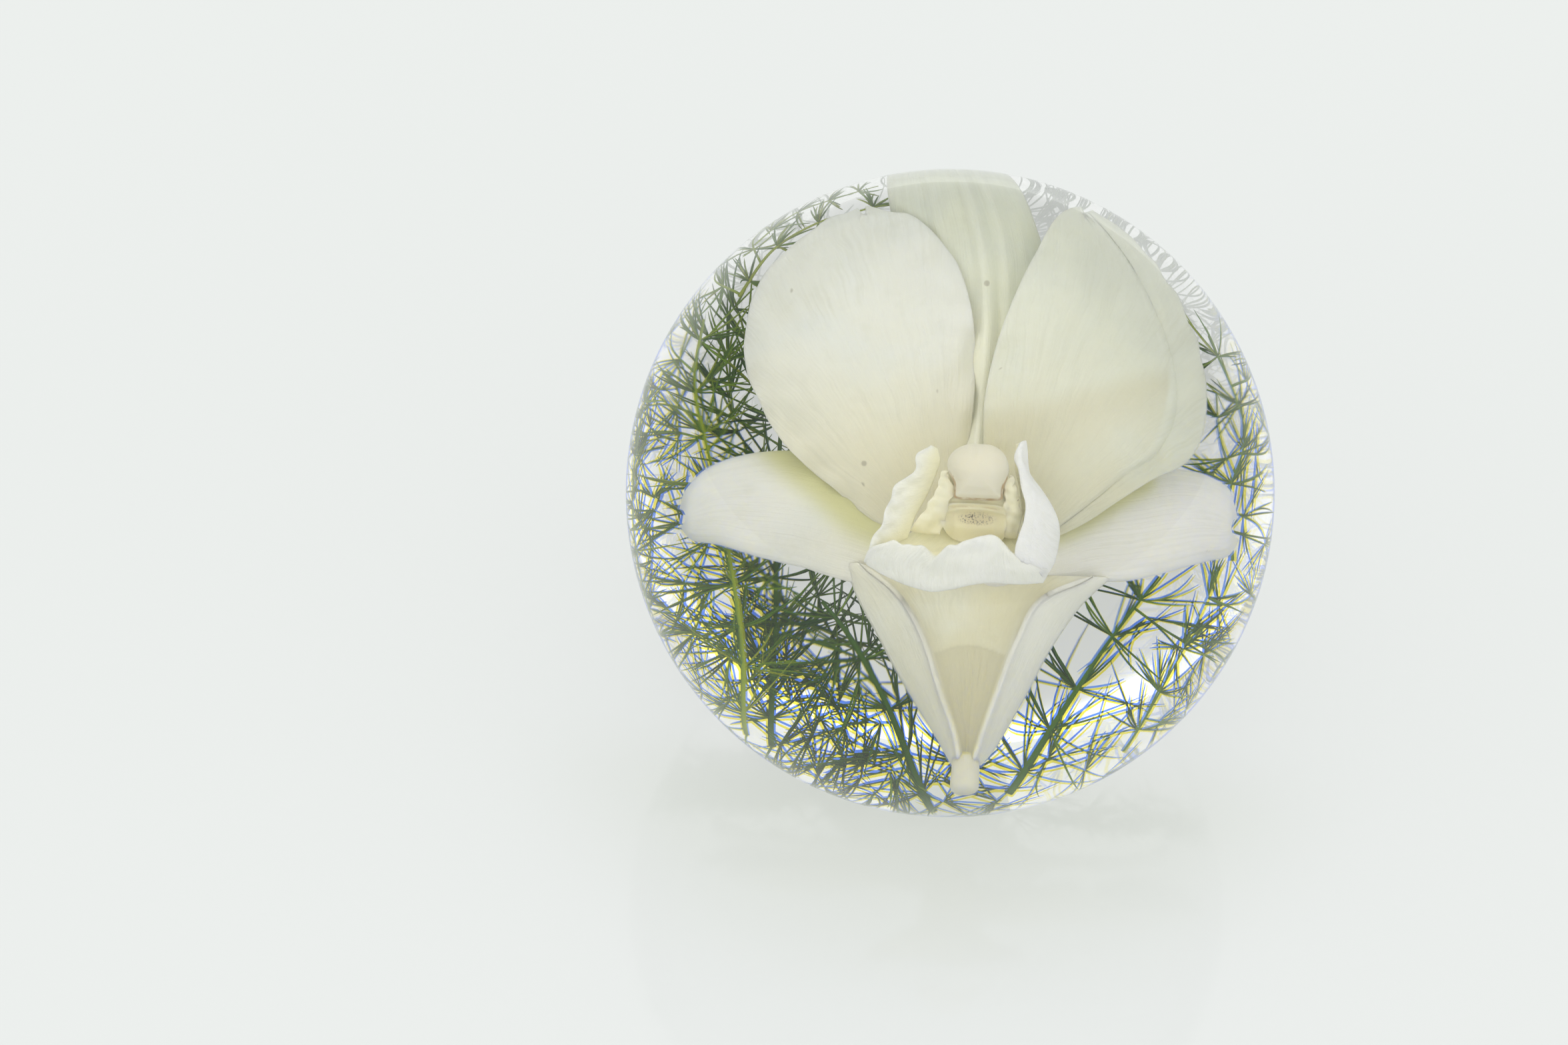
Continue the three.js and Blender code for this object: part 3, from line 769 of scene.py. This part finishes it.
def lip_side_lobe_left():
    rows = [
        [
            (-3.3, -4.1, 3.8), (-2.7, -2.2, 4.0), (-1.75, -0.2, 4.2), (-1.2, 1.3, 4.2), (-0.9, 2.6, 4.2),
            (-1.2, 3.55, 4.1),
        ],
        [
            (-4.9, -4.8, 4.9), (-4.1, -2.8, 4.7), (-3.3, -0.9, 4.6), (-2.3, 0.9, 4.5), (-1.9, 2.5, 4.4),
            (-1.5, 3.7, 4.2),
        ],
        [
            (-6.6, -5.6, 5.9), (-6.15, -4.1, 5.6), (-5.35, -3.0, 5.2), (-5.25, -1.4, 5.0), (-4.7, -0.1, 4.9),
            (-3.5, 1.0, 4.8), (-2.9, 2.0, 4.6), (-2.75, 3.1, 4.4), (-1.8, 3.8, 4.1),
        ],
    ]
    crimp = ripples(61, 9, 0.7, 2.4)

    def frill(points, u, v):
        points = points.copy()
        free = ease(v, 0.3, 1)
        points[..., 0] += 0.16 * free * crimp(4 * u, 0 * u)
        points[..., 2] += 0.26 * free * crimp(points[..., 0], points[..., 1])
        return points

    return sheet_parts(loft(rows, frill), 80, 50, LOBE_THICKNESS, lambda u, v, x, y: 0.9 - 0.7 * v)


def lip_side_lobe_right():
    rows = [
        [(5.3, 4.3, 3.2), (5.3, 2.4, 2.8), (5.8, 0.4, 2.6), (6.2, -2, 2.7), (6.4, -4.2, 3.2)],
        [(5.9, 4.5, 3.6), (6.2, 2.3, 3.2), (7.4, 0.4, 3.0), (8.7, -2.2, 3.1), (8.5, -5.6, 3.4)],
        [
            (6.15, 4.65, 4.1), (6.4, 2.4, 4.2), (6.9, 1.1, 4.3), (8.1, -0.1, 4.3), (9.05, -1.6, 4.4),
            (9.4, -3.0, 4.4), (9.3, -4.4, 4.4), (9.0, -5.8, 4.5), (8.4, -6.8, 4.8),
        ],
        [
            (5.95, 4.6, 4.8), (5.9, 3.0, 5.2), (6.5, 1.4, 5.4), (7.5, -0.4, 5.7), (8.1, -2.6, 5.9),
            (8.0, -4.4, 5.9), (7.6, -6.2, 5.8),
        ],
        [
            (5.7, 4.4, 5.0), (5.3, 3.0, 5.3), (5.7, 2.0, 5.6), (6.1, 1.0, 5.9), (6.5, -0.4, 6.3),
            (6.6, -2.0, 6.6), (6.1, -3.6, 6.7), (6.1, -5.6, 6.5),
        ],
    ]
    crimp = ripples(71, 8, 1.0, 3.0)
    flute = ripples(72, 8, 0.5, 1.4)

    def frill(points, u, v):
        points = points.copy()
        free = ease(v, 0.4, 1)
        points[..., 0] += 0.10 * free * crimp(4 * u, 2 * v)
        points[..., 2] += 0.05 * free * flute(points[..., 0], 0.15 * points[..., 1])
        return points

    return sheet_parts(loft(rows, frill), 80, 70, LOBE_THICKNESS, lambda u, v, x, y: 0.6 - 1.6 * ease(v, 0.1, 0.4))


def dome_parts(outline, front, back_z, back_scale, rings=40, turns=96, mark=None):
    """A closed body: a front over an outline, a side wall and a smaller flat back."""
    a = np.linspace(0, 1, turns + 1)[:-1]
    rim = spline(outline, a)
    centre = rim.mean(axis=0)
    verts, leaves = [], []
    shares = np.sin(np.linspace(0.02, 1, rings) * math.pi / 2)
    for s in shares:
        ring = centre + (rim - centre) * s
        z = front(ring[:, 0], ring[:, 1], s)
        verts.append(np.column_stack([ring, z]))
        stain = mark(ring[:, 0], ring[:, 1], s) if mark else np.zeros(turns)
        leaves.append(np.column_stack([a, np.full(turns, s), stain]))
    edge = verts[-1]
    for s in (0.25, 0.6, 0.85, 0.97, 1.0):
        ring = centre + (rim - centre) * (1 + (back_scale - 1) * s * s)
        z = edge[:, 2] + (back_z - edge[:, 2]) * math.sin(s * math.pi / 2)
        verts.append(np.column_stack([ring, z]))
        leaves.append(np.column_stack([a, np.ones(turns), np.zeros(turns)]))
    total = len(verts)
    faces = [list(range(turns))] + ring_faces(total, turns)
    faces.append([(total - 1) * turns + j for j in range(turns)][::-1])
    return np.concatenate(verts), faces, np.concatenate(leaves)


def anther_cap():
    outline = [
        (2.4, 4.15), (3.4, 4.1), (4.2, 3.7), (4.75, 3.0), (4.98, 2.1), (4.85, 1.3), (4.62, 0.5), (4.58, -0.1),
        (4.5, -0.5), (3.6, -0.62), (2.4, -0.66), (1.3, -0.66), (0.5, -0.58), (0.42, 0.0), (0.38, 0.6), (0.1, 1.2),
        (-0.22, 1.8), (-0.3, 2.5), (0.0, 3.2), (0.6, 3.75), (1.4, 4.08), (2.4, 4.15),
    ]

    def front(x, y, s):
        dome = 2.4 * math.sqrt(max(1 - s**2.6, 0))
        notch = 0.22 * hump(x, 2.0, 0.2) * ease(y, 2.6, 3.8)
        return 5.7 + dome + 0.3 * ease(y, 0.3, 2.0) - notch - 0.12 * hump(y, 0.1, 0.25)

    def seam(x, y, s):
        return -ease(s, 0.88, 0.98) * (1 - ease(y, 1.0, 2.2))

    return dome_parts(outline, front, 4.9, 0.9, mark=seam)


def column():
    """The column's body with its stigma hollow, the fold under the cap and the two wings."""
    outline = [
        (2.3, 3.2), (3.9, 2.9), (4.9, 1.4), (5.1, -0.5), (5.2, -2.2), (4.6, -3.7), (2.5, -4.2), (0.3, -3.7),
        (-0.7, -2.2), (-0.6, -0.5), (-0.2, 1.4), (0.8, 2.9), (2.3, 3.2),
    ]

    def front(x, y, s):
        top = 4.8 * ease(y, -1.9, -0.9) + 3.5 * (1 - ease(y, -1.9, -0.9))
        fold = 0.35 * hump(y + 0.95 + 0.03 * (x - 2.3) ** 2, 0, 0.12)
        fold = fold + 0.35 * hump(y + 1.35 + 0.05 * (x - 2.3) ** 2, 0, 0.12)
        foot = -1.0 * ease(-y, 2.6, 4.2)
        wall = 0.9 * ease(np.abs(x - 2.3), 1.6, 2.7) * ease(-y, 0.9, 1.5) * ease(y, -4.2, -3.0)
        return top + fold + foot + wall

    def stain(x, y, s):
        spot = ((x - 2.4) / 1.7) ** 2 + ((y + 2.1) / 0.65) ** 2
        folds = hump(y + 1.15 + 0.04 * (x - 2.3) ** 2, 0, 0.09)
        return np.exp(-spot * 1.2) - 0.55 * folds * (1 - ease(np.abs(x - 2.3), 1.8, 2.4))

    body = dome_parts(outline, front, -4.0, 0.5, 60, 120, stain)
    wing_left = [
        [
            (-0.4, 1.7, 5.6), (0.05, 0.95, 5.8), (0.38, 0.1, 5.7), (0.2, -0.8, 5.4), (-0.2, -2.2, 4.5),
            (-0.5, -3.6, 3.6),
        ],
        [
            (-0.5, 1.75, 5.6), (-0.5, 0.8, 5.6), (-0.5, -0.1, 5.5), (-0.9, -1.2, 5.2), (-1.4, -2.5, 4.5),
            (-1.9, -3.6, 3.6),
        ],
        [
            (-0.55, 1.7, 5.5), (-0.85, 0.7, 5.4), (-1.15, -0.2, 5.3), (-1.8, -1.3, 5.0), (-2.6, -2.4, 4.5),
            (-3.2, -3.4, 3.7),
        ],
    ]
    wing_right = [
        [(5.05, 1.6, 5.6), (4.7, 0.8, 5.8), (4.62, 0.0, 5.7), (4.8, -1.0, 5.3), (5.0, -2.1, 4.5), (4.9, -3.5, 3.6)],
        [
            (5.15, 1.65, 5.6), (5.2, 0.8, 5.6), (5.3, -0.1, 5.5), (5.5, -1.2, 5.1), (5.5, -2.4, 4.5),
            (5.3, -3.6, 3.6),
        ],
        [
            (5.2, 1.6, 5.5), (5.55, 0.9, 5.4), (5.95, -0.1, 5.2), (6.15, -1.2, 4.9), (6.0, -2.4, 4.4),
            (5.7, -3.6, 3.7),
        ],
    ]
    crimp = ripples(81, 8, 0.7, 2.2)

    def frill(points, u, v):
        points = points.copy()
        points[..., 0] += 0.14 * crimp(3 * u, v)
        points[..., 2] += 0.14 * crimp(points[..., 0], points[..., 1])
        return points

    flaps = [sheet_parts(loft(rows, frill), 40, 24, WING_THICKNESS) for rows in (wing_left, wing_right)]
    flaps = [(v, f, leaf * [1, 1, 0]) for v, f, leaf in flaps]
    return joined([body, *flaps])


# ---- Ferns ----

# Each sprig's main stem from its cut end to its tip, the length of its needles and how light it is.
SPRIGS = {
    "left_main": (
        [
            (-14.4, -19, -10), (-14.4, -12.4, -9.4), (-15.8, -4.9, -9), (-17.5, 1.4, -8.7), (-19, 7.1, -9),
            (-18.6, 12, -9.6),
        ],
        6.0, 0.18,
    ),
    "left_inner": ([(-11.6, -18.4, -12), (-11.6, -10.8, -11.8), (-12, -1, -11.6), (-12.4, 6.4, -9.2)], 6.4, -0.08),
    "left_top": (
        [(-15.9, 13.6, -9.8), (-13.9, 17.4, -9.2), (-10.8, 19.6, -9), (-7.9, 20.5, -9), (-5.3, 21.3, -9)],
        2.8, 0.3,
    ),
    "left_rim": ([(-23.4, -10.6, -9.6), (-24.6, -2, -9), (-24.2, 7.4, -8.6)], 4.4, 0.14),
    "lower_left": ([(0.2, -23.4, -11.4), (-3.2, -15.9, -10.2), (-6.4, -10.8, -9.4), (-8.8, -8.1, -9)], 7.2, -0.14),
    "right_main": (
        [(5.6, -21.4, -10.8), (8, -16.9, -10), (10.3, -13, -9.4), (12.5, -9.4, -9), (15.6, -4.9, -8.8)],
        7.6, -0.07,
    ),
    "right_rim": ([(20.8, -3.4, -9.8), (20.3, 1.4, -9.4), (21.6, 6.4, -8.8), (18.4, 13, -9)], 4.8, 0.06),
    "lower_right": ([(14.2, -18.4, -9.8), (16.6, -13, -9.2), (18.2, -9.5, -9), (20.2, -4.4, -8.8)], 4.2, 0.05),
}
# Smaller branches that leave a sprig's main stem.
BRANCHES = {
    "left_main": [
        [(-14.4, -19, -10), (-15, -20.6, -11.2), (-16.4, -22, -12.4)],
        [(-14.4, -12.4, -9.4), (-17.8, -10.8, -10.4), (-20.6, -8.4, -11)],
        [(-15.2, -7.4, -9.2), (-18.6, -7.2, -10.4), (-22, -5.2, -11)],
        [(-15.8, -4.9, -9), (-19, -3.0, -10.4), (-22.6, -1.4, -11)],
        [(-15.3, -6.6, -9.2), (-13.4, -3.6, -11), (-13.4, 0.8, -12)],
        [(-17.9, 3.2, -8.8), (-20.6, 3.6, -10), (-24, 2.6, -10.6)],
        [(-18.3, 4.8, -8.9), (-21, 5.6, -10), (-24.6, 5.2, -10.4)],
        [(-17.7, 2.4, -8.8), (-15.4, 5.0, -10.4), (-13.6, 8.4, -11.4)],
        [(-18.8, 6.6, -9), (-16.2, 8.8, -10.4), (-13.8, 11.4, -11.4)],
        [(-19, 8, -9.1), (-21, 10.0, -10.4), (-21.6, 12.8, -11)],
        [(-18.9, 9.8, -9.3), (-16.6, 11.8, -10.6), (-14.4, 13.8, -11.4)],
        [(-14.4, -16, -9.8), (-18, -15.4, -11), (-20.4, -12.8, -12)],
        [(-14.4, -18.4, -10), (-17.4, -18.8, -11.4), (-20, -17.4, -12.4)],
        [(-14.4, -14.6, -9.6), (-12, -12.4, -11.4), (-10.4, -9.6, -12.4)],
    ],
    "left_inner": [
        [(-11.6, -18.4, -12), (-12.6, -20.4, -12.6), (-13, -22.4, -13)],
        [(-11.6, -12.4, -11.9), (-9, -10.6, -12.4), (-6.4, -10, -12.6)],
        [(-11.8, -7, -11.8), (-14.4, -3.4, -13), (-16, 0.6, -13.4)],
        [(-11.6, -15.4, -12), (-8.8, -14.2, -12.6), (-5.4, -14.6, -13)],
        [(-11.7, -10, -11.8), (-9.6, -7.6, -12.6), (-7, -6.8, -13)],
        [(-11.6, -17, -12), (-9.6, -19, -13), (-7, -20, -13.6)],
        [(-11.6, -14, -12), (-14, -10.6, -13), (-17.6, -9.6, -13.6)],
        [(-12.1, 0.4, -11.4), (-14.6, 3.6, -12.4), (-15.8, 7.4, -12.6)],
    ],
    "left_top": [
        [(-14.6, 16.2, -9.5), (-15.6, 18.4, -10.4), (-14.4, 20.6, -11)],
        [(-15.4, 17.8, -10), (-12.9, 20.4, -10), (-9.5, 21.4, -10.2), (-6.4, 22.3, -10.4)],
        [(-15.9, 13.8, -9.8), (-18, 15, -10.6), (-18.2, 17.4, -11)],
    ],
    "left_rim": [
        [(-24.2, -5, -9.4), (-26.4, -1.4, -10.6), (-27.4, 3, -11)],
        [(-24.6, 1, -9), (-22, 3.4, -10.6), (-20.8, 8.0, -11.4)],
        [(-23.6, -9, -9.6), (-21.4, -12, -11), (-20.6, -15, -12)],
        [(-24.5, 3.4, -8.8), (-25.6, 8, -10.2), (-24.6, 12.6, -11.2)],
        [(-24.4, -4, -9.2), (-22, -2.6, -10.4), (-20.4, 0.4, -11.2)],
    ],
    "lower_left": [
        [(0.2, -23.4, -11.4), (-2.6, -24.4, -12), (-6, -25.2, -12.4)],
        [(-1.4, -19.4, -10.8), (-4.4, -21.8, -11.6), (-7.2, -24.4, -12.4)],
        [(-2.2, -18, -10.6), (-6, -18.6, -11.8), (-9.8, -19.6, -12.4)],
        [(-0.9, -20.6, -11), (1.4, -19.6, -12), (2.6, -16.8, -12.6)],
        [(-0.4, -21.6, -11.2), (2.4, -22.6, -11.8), (5.0, -24.8, -12)],
        [(-1.4, -19.4, -10.8), (-5.4, -20.4, -11.6), (-9, -22.4, -12)],
        [(-3.0, -16.4, -10.4), (-6.2, -16.4, -11.4), (-9.6, -17.6, -12)],
        [(-3.4, -15.4, -10.2), (-1.4, -13.6, -12), (-0.2, -11.4, -12.6)],
        [(-4.6, -13.4, -9.9), (-8, -13.2, -11), (-10.8, -11.4, -12)],
        [(-6.2, -11, -9.5), (-8.6, -10.8, -10.6), (-10.6, -8.6, -11.6)],
        [(-5.6, -11.8, -9.6), (-4.2, -9.8, -11.4), (-4, -7.6, -12.4)],
    ],
    "right_main": [
        [(13.8, -7.2, -9.3), (15.8, -8.5, -9.6), (17.9, -9.6, -9.6), (20.8, -11.3, -9.8)],
        [(7.4, -18.2, -10.2), (10.6, -19, -11.2), (14, -21, -11.8)],
        [(5.8, -21, -10.7), (3.8, -22.8, -11.6), (2.2, -24.8, -12)],
    ],
    "right_rim": [
        [(20.5, 0.2, -9.5), (22.6, -0.8, -10.6), (24.4, -3.2, -11)],
        [(20.9, 4.4, -9), (23.4, 4.8, -10.4), (25.2, 7.4, -11)],
        [(20.6, 3, -9.2), (18.8, 5.4, -10.8), (18, 8.4, -11.6)],
        [(20.4, 9.4, -8.9), (22.4, 10.6, -10), (22.8, 13, -10.6)],
    ],
    "lower_right": [
        [(15.4, -15.6, -9.5), (17.4, -15.6, -10.6), (20, -14.2, -11)],
        [(18.2, -9.5, -9), (20.8, -10.6, -10.2), (22.8, -12.2, -10.8)],
        [(19.2, -6.8, -8.9), (22, -6.4, -10.4), (24.2, -4.6, -11)],
    ],
}
# The distance between whorls and the needles in one, on stems and on branches. BUNDLE needles share one lean.
STEM_WHORLS = 3.7
BRANCH_WHORLS = 2.7
STEM_NEEDLES = 15
BRANCH_NEEDLES = 9
BUNDLE = 3
NEEDLE_RADIUS = 0.09
# The stem's radius as a share of its needles' length.
STEM_RADIUS = 0.048
BRANCH_RADIUS = 0.11
# Needles stay behind the plane at FLOWER_BACK within this ellipse about the flower, and at OPEN_BACK elsewhere.
FLOWER_SPAN = (20.5, 9.5)
FLOWER_BACK = -7.7
OPEN_BACK = -3
NEEDLE_FLOOR = 0.0015
FIRST_SEED = 100


def tube_parts(points, radii, sides, tint):
    """A tapered tube along points, with closed ends."""
    points = np.asarray(points, float)
    way = np.gradient(points, axis=0)
    way /= np.linalg.norm(way, axis=1, keepdims=True)
    helper = np.array([0.31, 0.17, 0.93])
    across = np.cross(way, helper)
    across /= np.linalg.norm(across, axis=1, keepdims=True)
    over = np.cross(way, across)
    a = np.arange(sides) * 2 * math.pi / sides
    ring = across[:, None] * np.cos(a)[None, :, None] + over[:, None] * np.sin(a)[None, :, None]
    verts = points[:, None] + ring * np.asarray(radii, float)[:, None, None]
    count = len(points)
    faces = [list(range(sides))[::-1], [(count - 1) * sides + k for k in range(sides)]] + ring_faces(count, sides)
    leaf = np.tile([tint, 0, 0], (count * sides, 1)).astype(float)
    leaf[:, 1] = np.repeat(np.linspace(0, 1, count), sides)
    return verts.reshape(-1, 3), faces, leaf


def in_front_of_flower(point):
    """How far a point reaches past the plane behind the flower, where the flower is."""
    x, y, z = point
    over_flower = ((x - FLOWER_X) / FLOWER_SPAN[0]) ** 2 + ((y - 1) / FLOWER_SPAN[1]) ** 2 < 1
    return z - (FLOWER_BACK if over_flower else OPEN_BACK)


def needles(stem, rng, length, spacing, crowd, light):
    """Fans of fine needles that arch towards the stem's tip."""
    way = np.linalg.norm(np.diff(stem, axis=0), axis=1)
    total = way.sum()
    count = max(round(total / spacing), 2)
    reach = np.concatenate([[0], np.cumsum(way)]) / total
    parts = []
    for k in range(count):
        at = (k + rng.uniform(0.35, 0.65)) / count
        root, ahead, behind = (
            np.array([np.interp(np.clip(where, 0, 1), reach, stem[:, c]) for c in range(3)])
            for where in (at, at + 0.03, at - 0.03)
        )
        forward = (ahead - behind) / np.linalg.norm(ahead - behind)
        side = np.array([-forward[1], forward[0], 0])
        side /= np.linalg.norm(side)
        up = np.cross(forward, side)
        leans = rng.uniform(10, 118, crowd) * (-1) ** np.arange(crowd)
        for n in range(crowd):
            lean = math.radians(leans[n // BUNDLE] + rng.normal(0, 12))
            start = forward * math.cos(lean) + side * math.sin(lean) + up * rng.normal(0, 0.28)
            start /= np.linalg.norm(start)
            size = length * rng.uniform(0.75, 1.15) * (1 - 0.35 * at)
            bend = forward * rng.uniform(-0.2, 0.55) + side * rng.normal(0, 0.28) + up * rng.normal(0, 0.1)
            tint = np.clip(rng.normal(0.42 + light, 0.22), 0, 1)
            t = np.linspace(0, 1, 7)[:, None]
            path = root + size * (start * t + bend * t * t * 0.7)
            path[:, 2] -= max(in_front_of_flower(path[-1]), 0) * t[:, 0]
            inside = np.linalg.norm(path, axis=1).max() < SAFE_RADIUS
            if inside and in_ball(path)[:, 2].min() > NEEDLE_FLOOR:
                radii = NEEDLE_RADIUS * np.array([0.7, 0.95, 1, 1, 0.9, 0.7, 0.25])
                parts.append(tube_parts(path, radii, 3, tint))
    return parts


def sprig(name, seed):
    rng = np.random.default_rng(seed)
    route, length, light = SPRIGS[name]
    stem = spline(route, np.linspace(0, 1, 60))
    radii = STEM_RADIUS * length * np.linspace(1, 0.4, 60)
    parts = [tube_parts(stem, radii, 8, np.clip(0.5 + 2.2 * light, 0, 1))]
    parts += needles(stem, rng, length, STEM_WHORLS, STEM_NEEDLES, light)
    for route in BRANCHES[name]:
        branch = spline(route, np.linspace(0, 1, 30))
        parts.append(tube_parts(branch, BRANCH_RADIUS * np.linspace(1, 0.5, 30), 6, 0.6 + light))
        parts += needles(branch, rng, 0.86 * length, BRANCH_WHORLS, BRANCH_NEEDLES, light)
    organ("fern_sprig_" + name, joined(parts), FERN)


# ---- Make the object ----

resin_ball()
organ("dorsal_sepal", dorsal_sepal(), DORSAL)
organ("petal_left", petal_left(), PETAL)
organ("petal_right", petal_right(), RIGHT_PETAL_SHADED)
organ("lateral_sepal_left", lateral_sepal_left(), SEPAL)
organ("lateral_sepal_right", lateral_sepal_right(), RIGHT_SEPAL_LIT)
organ("mentum", mentum(), CHIN)
organ("lip_midlobe", lip_midlobe(), LIP)
organ("lip_side_lobe_left", lip_side_lobe_left(), LIP)
organ("lip_side_lobe_right", lip_side_lobe_right(), LIP)
organ("column", column(), COLUMN)
organ("anther_cap", anther_cap(), CAP)
for index, sprig_name in enumerate(SPRIGS):
    sprig(sprig_name, FIRST_SEED + index)

# ---- Studio ----

FLOOR_RADIUS = 3.0
FLOOR_DROP = 0.00005
# The spot on the table that the camera sees through the ball. The table's material is darker there.
BALL_FOCUS = (0, 0.046, 0)
# Distances, in metres, over which the table's shades and its extra roughness fade in.
FOCUS_SHADE = (0.034, 0.010)
FOCUS_ROUGHNESS = (0.040, 0.024)
FRONT_SHADE = (0.060, 0.025)
CAMERA_PLACE = (0, -0.3934, 0.3445)
CAMERA_YAW_PITCH_ROLL = (-2.96, 38.61, 1.44)
CAMERA_LENS = 92.8
CAMERA_SENSOR = 36


def studio_floor():
    """A large glossy white table top.

    The dark spot at BALL_FOCUS and the shade in front of the ball are part of the material. No light casts them.
    """
    g = Graph("studio_floor")
    place = g.place()
    cloud = g.noise(place, 3, 2)
    tone = g.mix(cloud, (0.205, 0.213, 0.208), (0.215, 0.223, 0.218))
    away = g.add("ShaderNodeVectorMath", {0: place, 1: BALL_FOCUS}, operation="DISTANCE").outputs["Value"]
    shadow = g.mask(away, *FOCUS_SHADE)
    reach = g.add("ShaderNodeVectorMath", {0: place}, operation="LENGTH").outputs["Value"]
    ahead = g.mask(g.add("ShaderNodeSeparateXYZ", {0: place}).outputs[1], 0.0, -0.02)
    contact = g.math("MULTIPLY", g.mask(reach, *FRONT_SHADE), ahead)
    glow = g.mix(shadow, (0.975, 1.0, 0.985), (0.72, 0.74, 0.72))
    shader = g.add("ShaderNodeBsdfPrincipled", {
        "Base Color": g.mix(shadow, tone, (0.15, 0.155, 0.15)),
        "Roughness": g.math("ADD", 0.06, g.math("MULTIPLY", g.mask(away, *FOCUS_ROUGHNESS), 0.5)),
        "IOR": 1.45,
        "Emission Color": g.mix(contact, glow, (0.87, 0.905, 0.84)),
        "Emission Strength": 0.56,
    })
    material = g.finish(shader.outputs[0])
    bm = bmesh.new()
    bmesh.ops.create_circle(bm, cap_ends=True, segments=96, radius=FLOOR_RADIUS)
    mesh = bpy.data.meshes.new("studio_floor")
    bm.to_mesh(mesh)
    bm.free()
    mesh.materials.append(material)
    floor = bpy.data.objects.new("studio_floor", mesh)
    floor.location.z = -FLOOR_DROP
    bpy.context.scene.collection.objects.link(floor)


def light_tent():
    """A white surround, with a greyer wall behind the object."""
    g = Graph("light_tent", world=True)
    heading = g.add("ShaderNodeSeparateXYZ", {0: g.add("ShaderNodeTexCoord").outputs["Generated"]})
    front = g.ramp(heading.outputs[2], [(0.0, (0.80, 0.815, 0.80)), (0.7, (1, 1, 1))])
    behind = g.ramp(heading.outputs[2], [
        (0.0, (0.58, 0.60, 0.57)),
        (0.1, (0.52, 0.54, 0.51)),
        (0.3, (0.43, 0.45, 0.42)),
        (0.6, (0.46, 0.48, 0.45)),
        (0.9, (1, 1, 1)),
    ])
    tone = g.mix(g.mask(heading.outputs[1], -0.2, 0.4), front, behind)
    aside = g.mask(g.math("ABSOLUTE", heading.outputs[0]), 0.45, 0.85)
    low = g.mask(heading.outputs[2], 0.6, 0.2)
    tone = g.mix(g.math("MULTIPLY", aside, low), tone, (0.30, 0.31, 0.30))
    bpy.context.scene.world = g.finish(g.add("ShaderNodeBackground", {"Color": tone, "Strength": 1.55}).outputs[0])


def camera():
    """The view from in front and above, aimed a little off the ball's centre."""
    yaw, pitch, roll = (math.radians(a) for a in CAMERA_YAW_PITCH_ROLL)
    look = Vector((math.sin(yaw) * math.cos(pitch), math.cos(yaw) * math.cos(pitch), -math.sin(pitch)))
    level = Vector((math.cos(yaw), -math.sin(yaw), 0))
    above = level.cross(look)
    right = level * math.cos(roll) + above * math.sin(roll)
    up = above * math.cos(roll) - level * math.sin(roll)
    turn = Matrix((right, up, -look)).transposed().to_4x4()
    data = bpy.data.cameras.new("camera")
    data.lens = CAMERA_LENS
    data.sensor_width = CAMERA_SENSOR
    data.clip_start = 0.01
    data.clip_end = 20
    seat = bpy.data.objects.new("camera", data)
    seat.matrix_world = Matrix.Translation(CAMERA_PLACE) @ turn
    bpy.context.scene.collection.objects.link(seat)
    bpy.context.scene.camera = seat


studio_floor()
light_tent()
camera()
bpy.context.scene.view_settings.view_transform = "Standard"
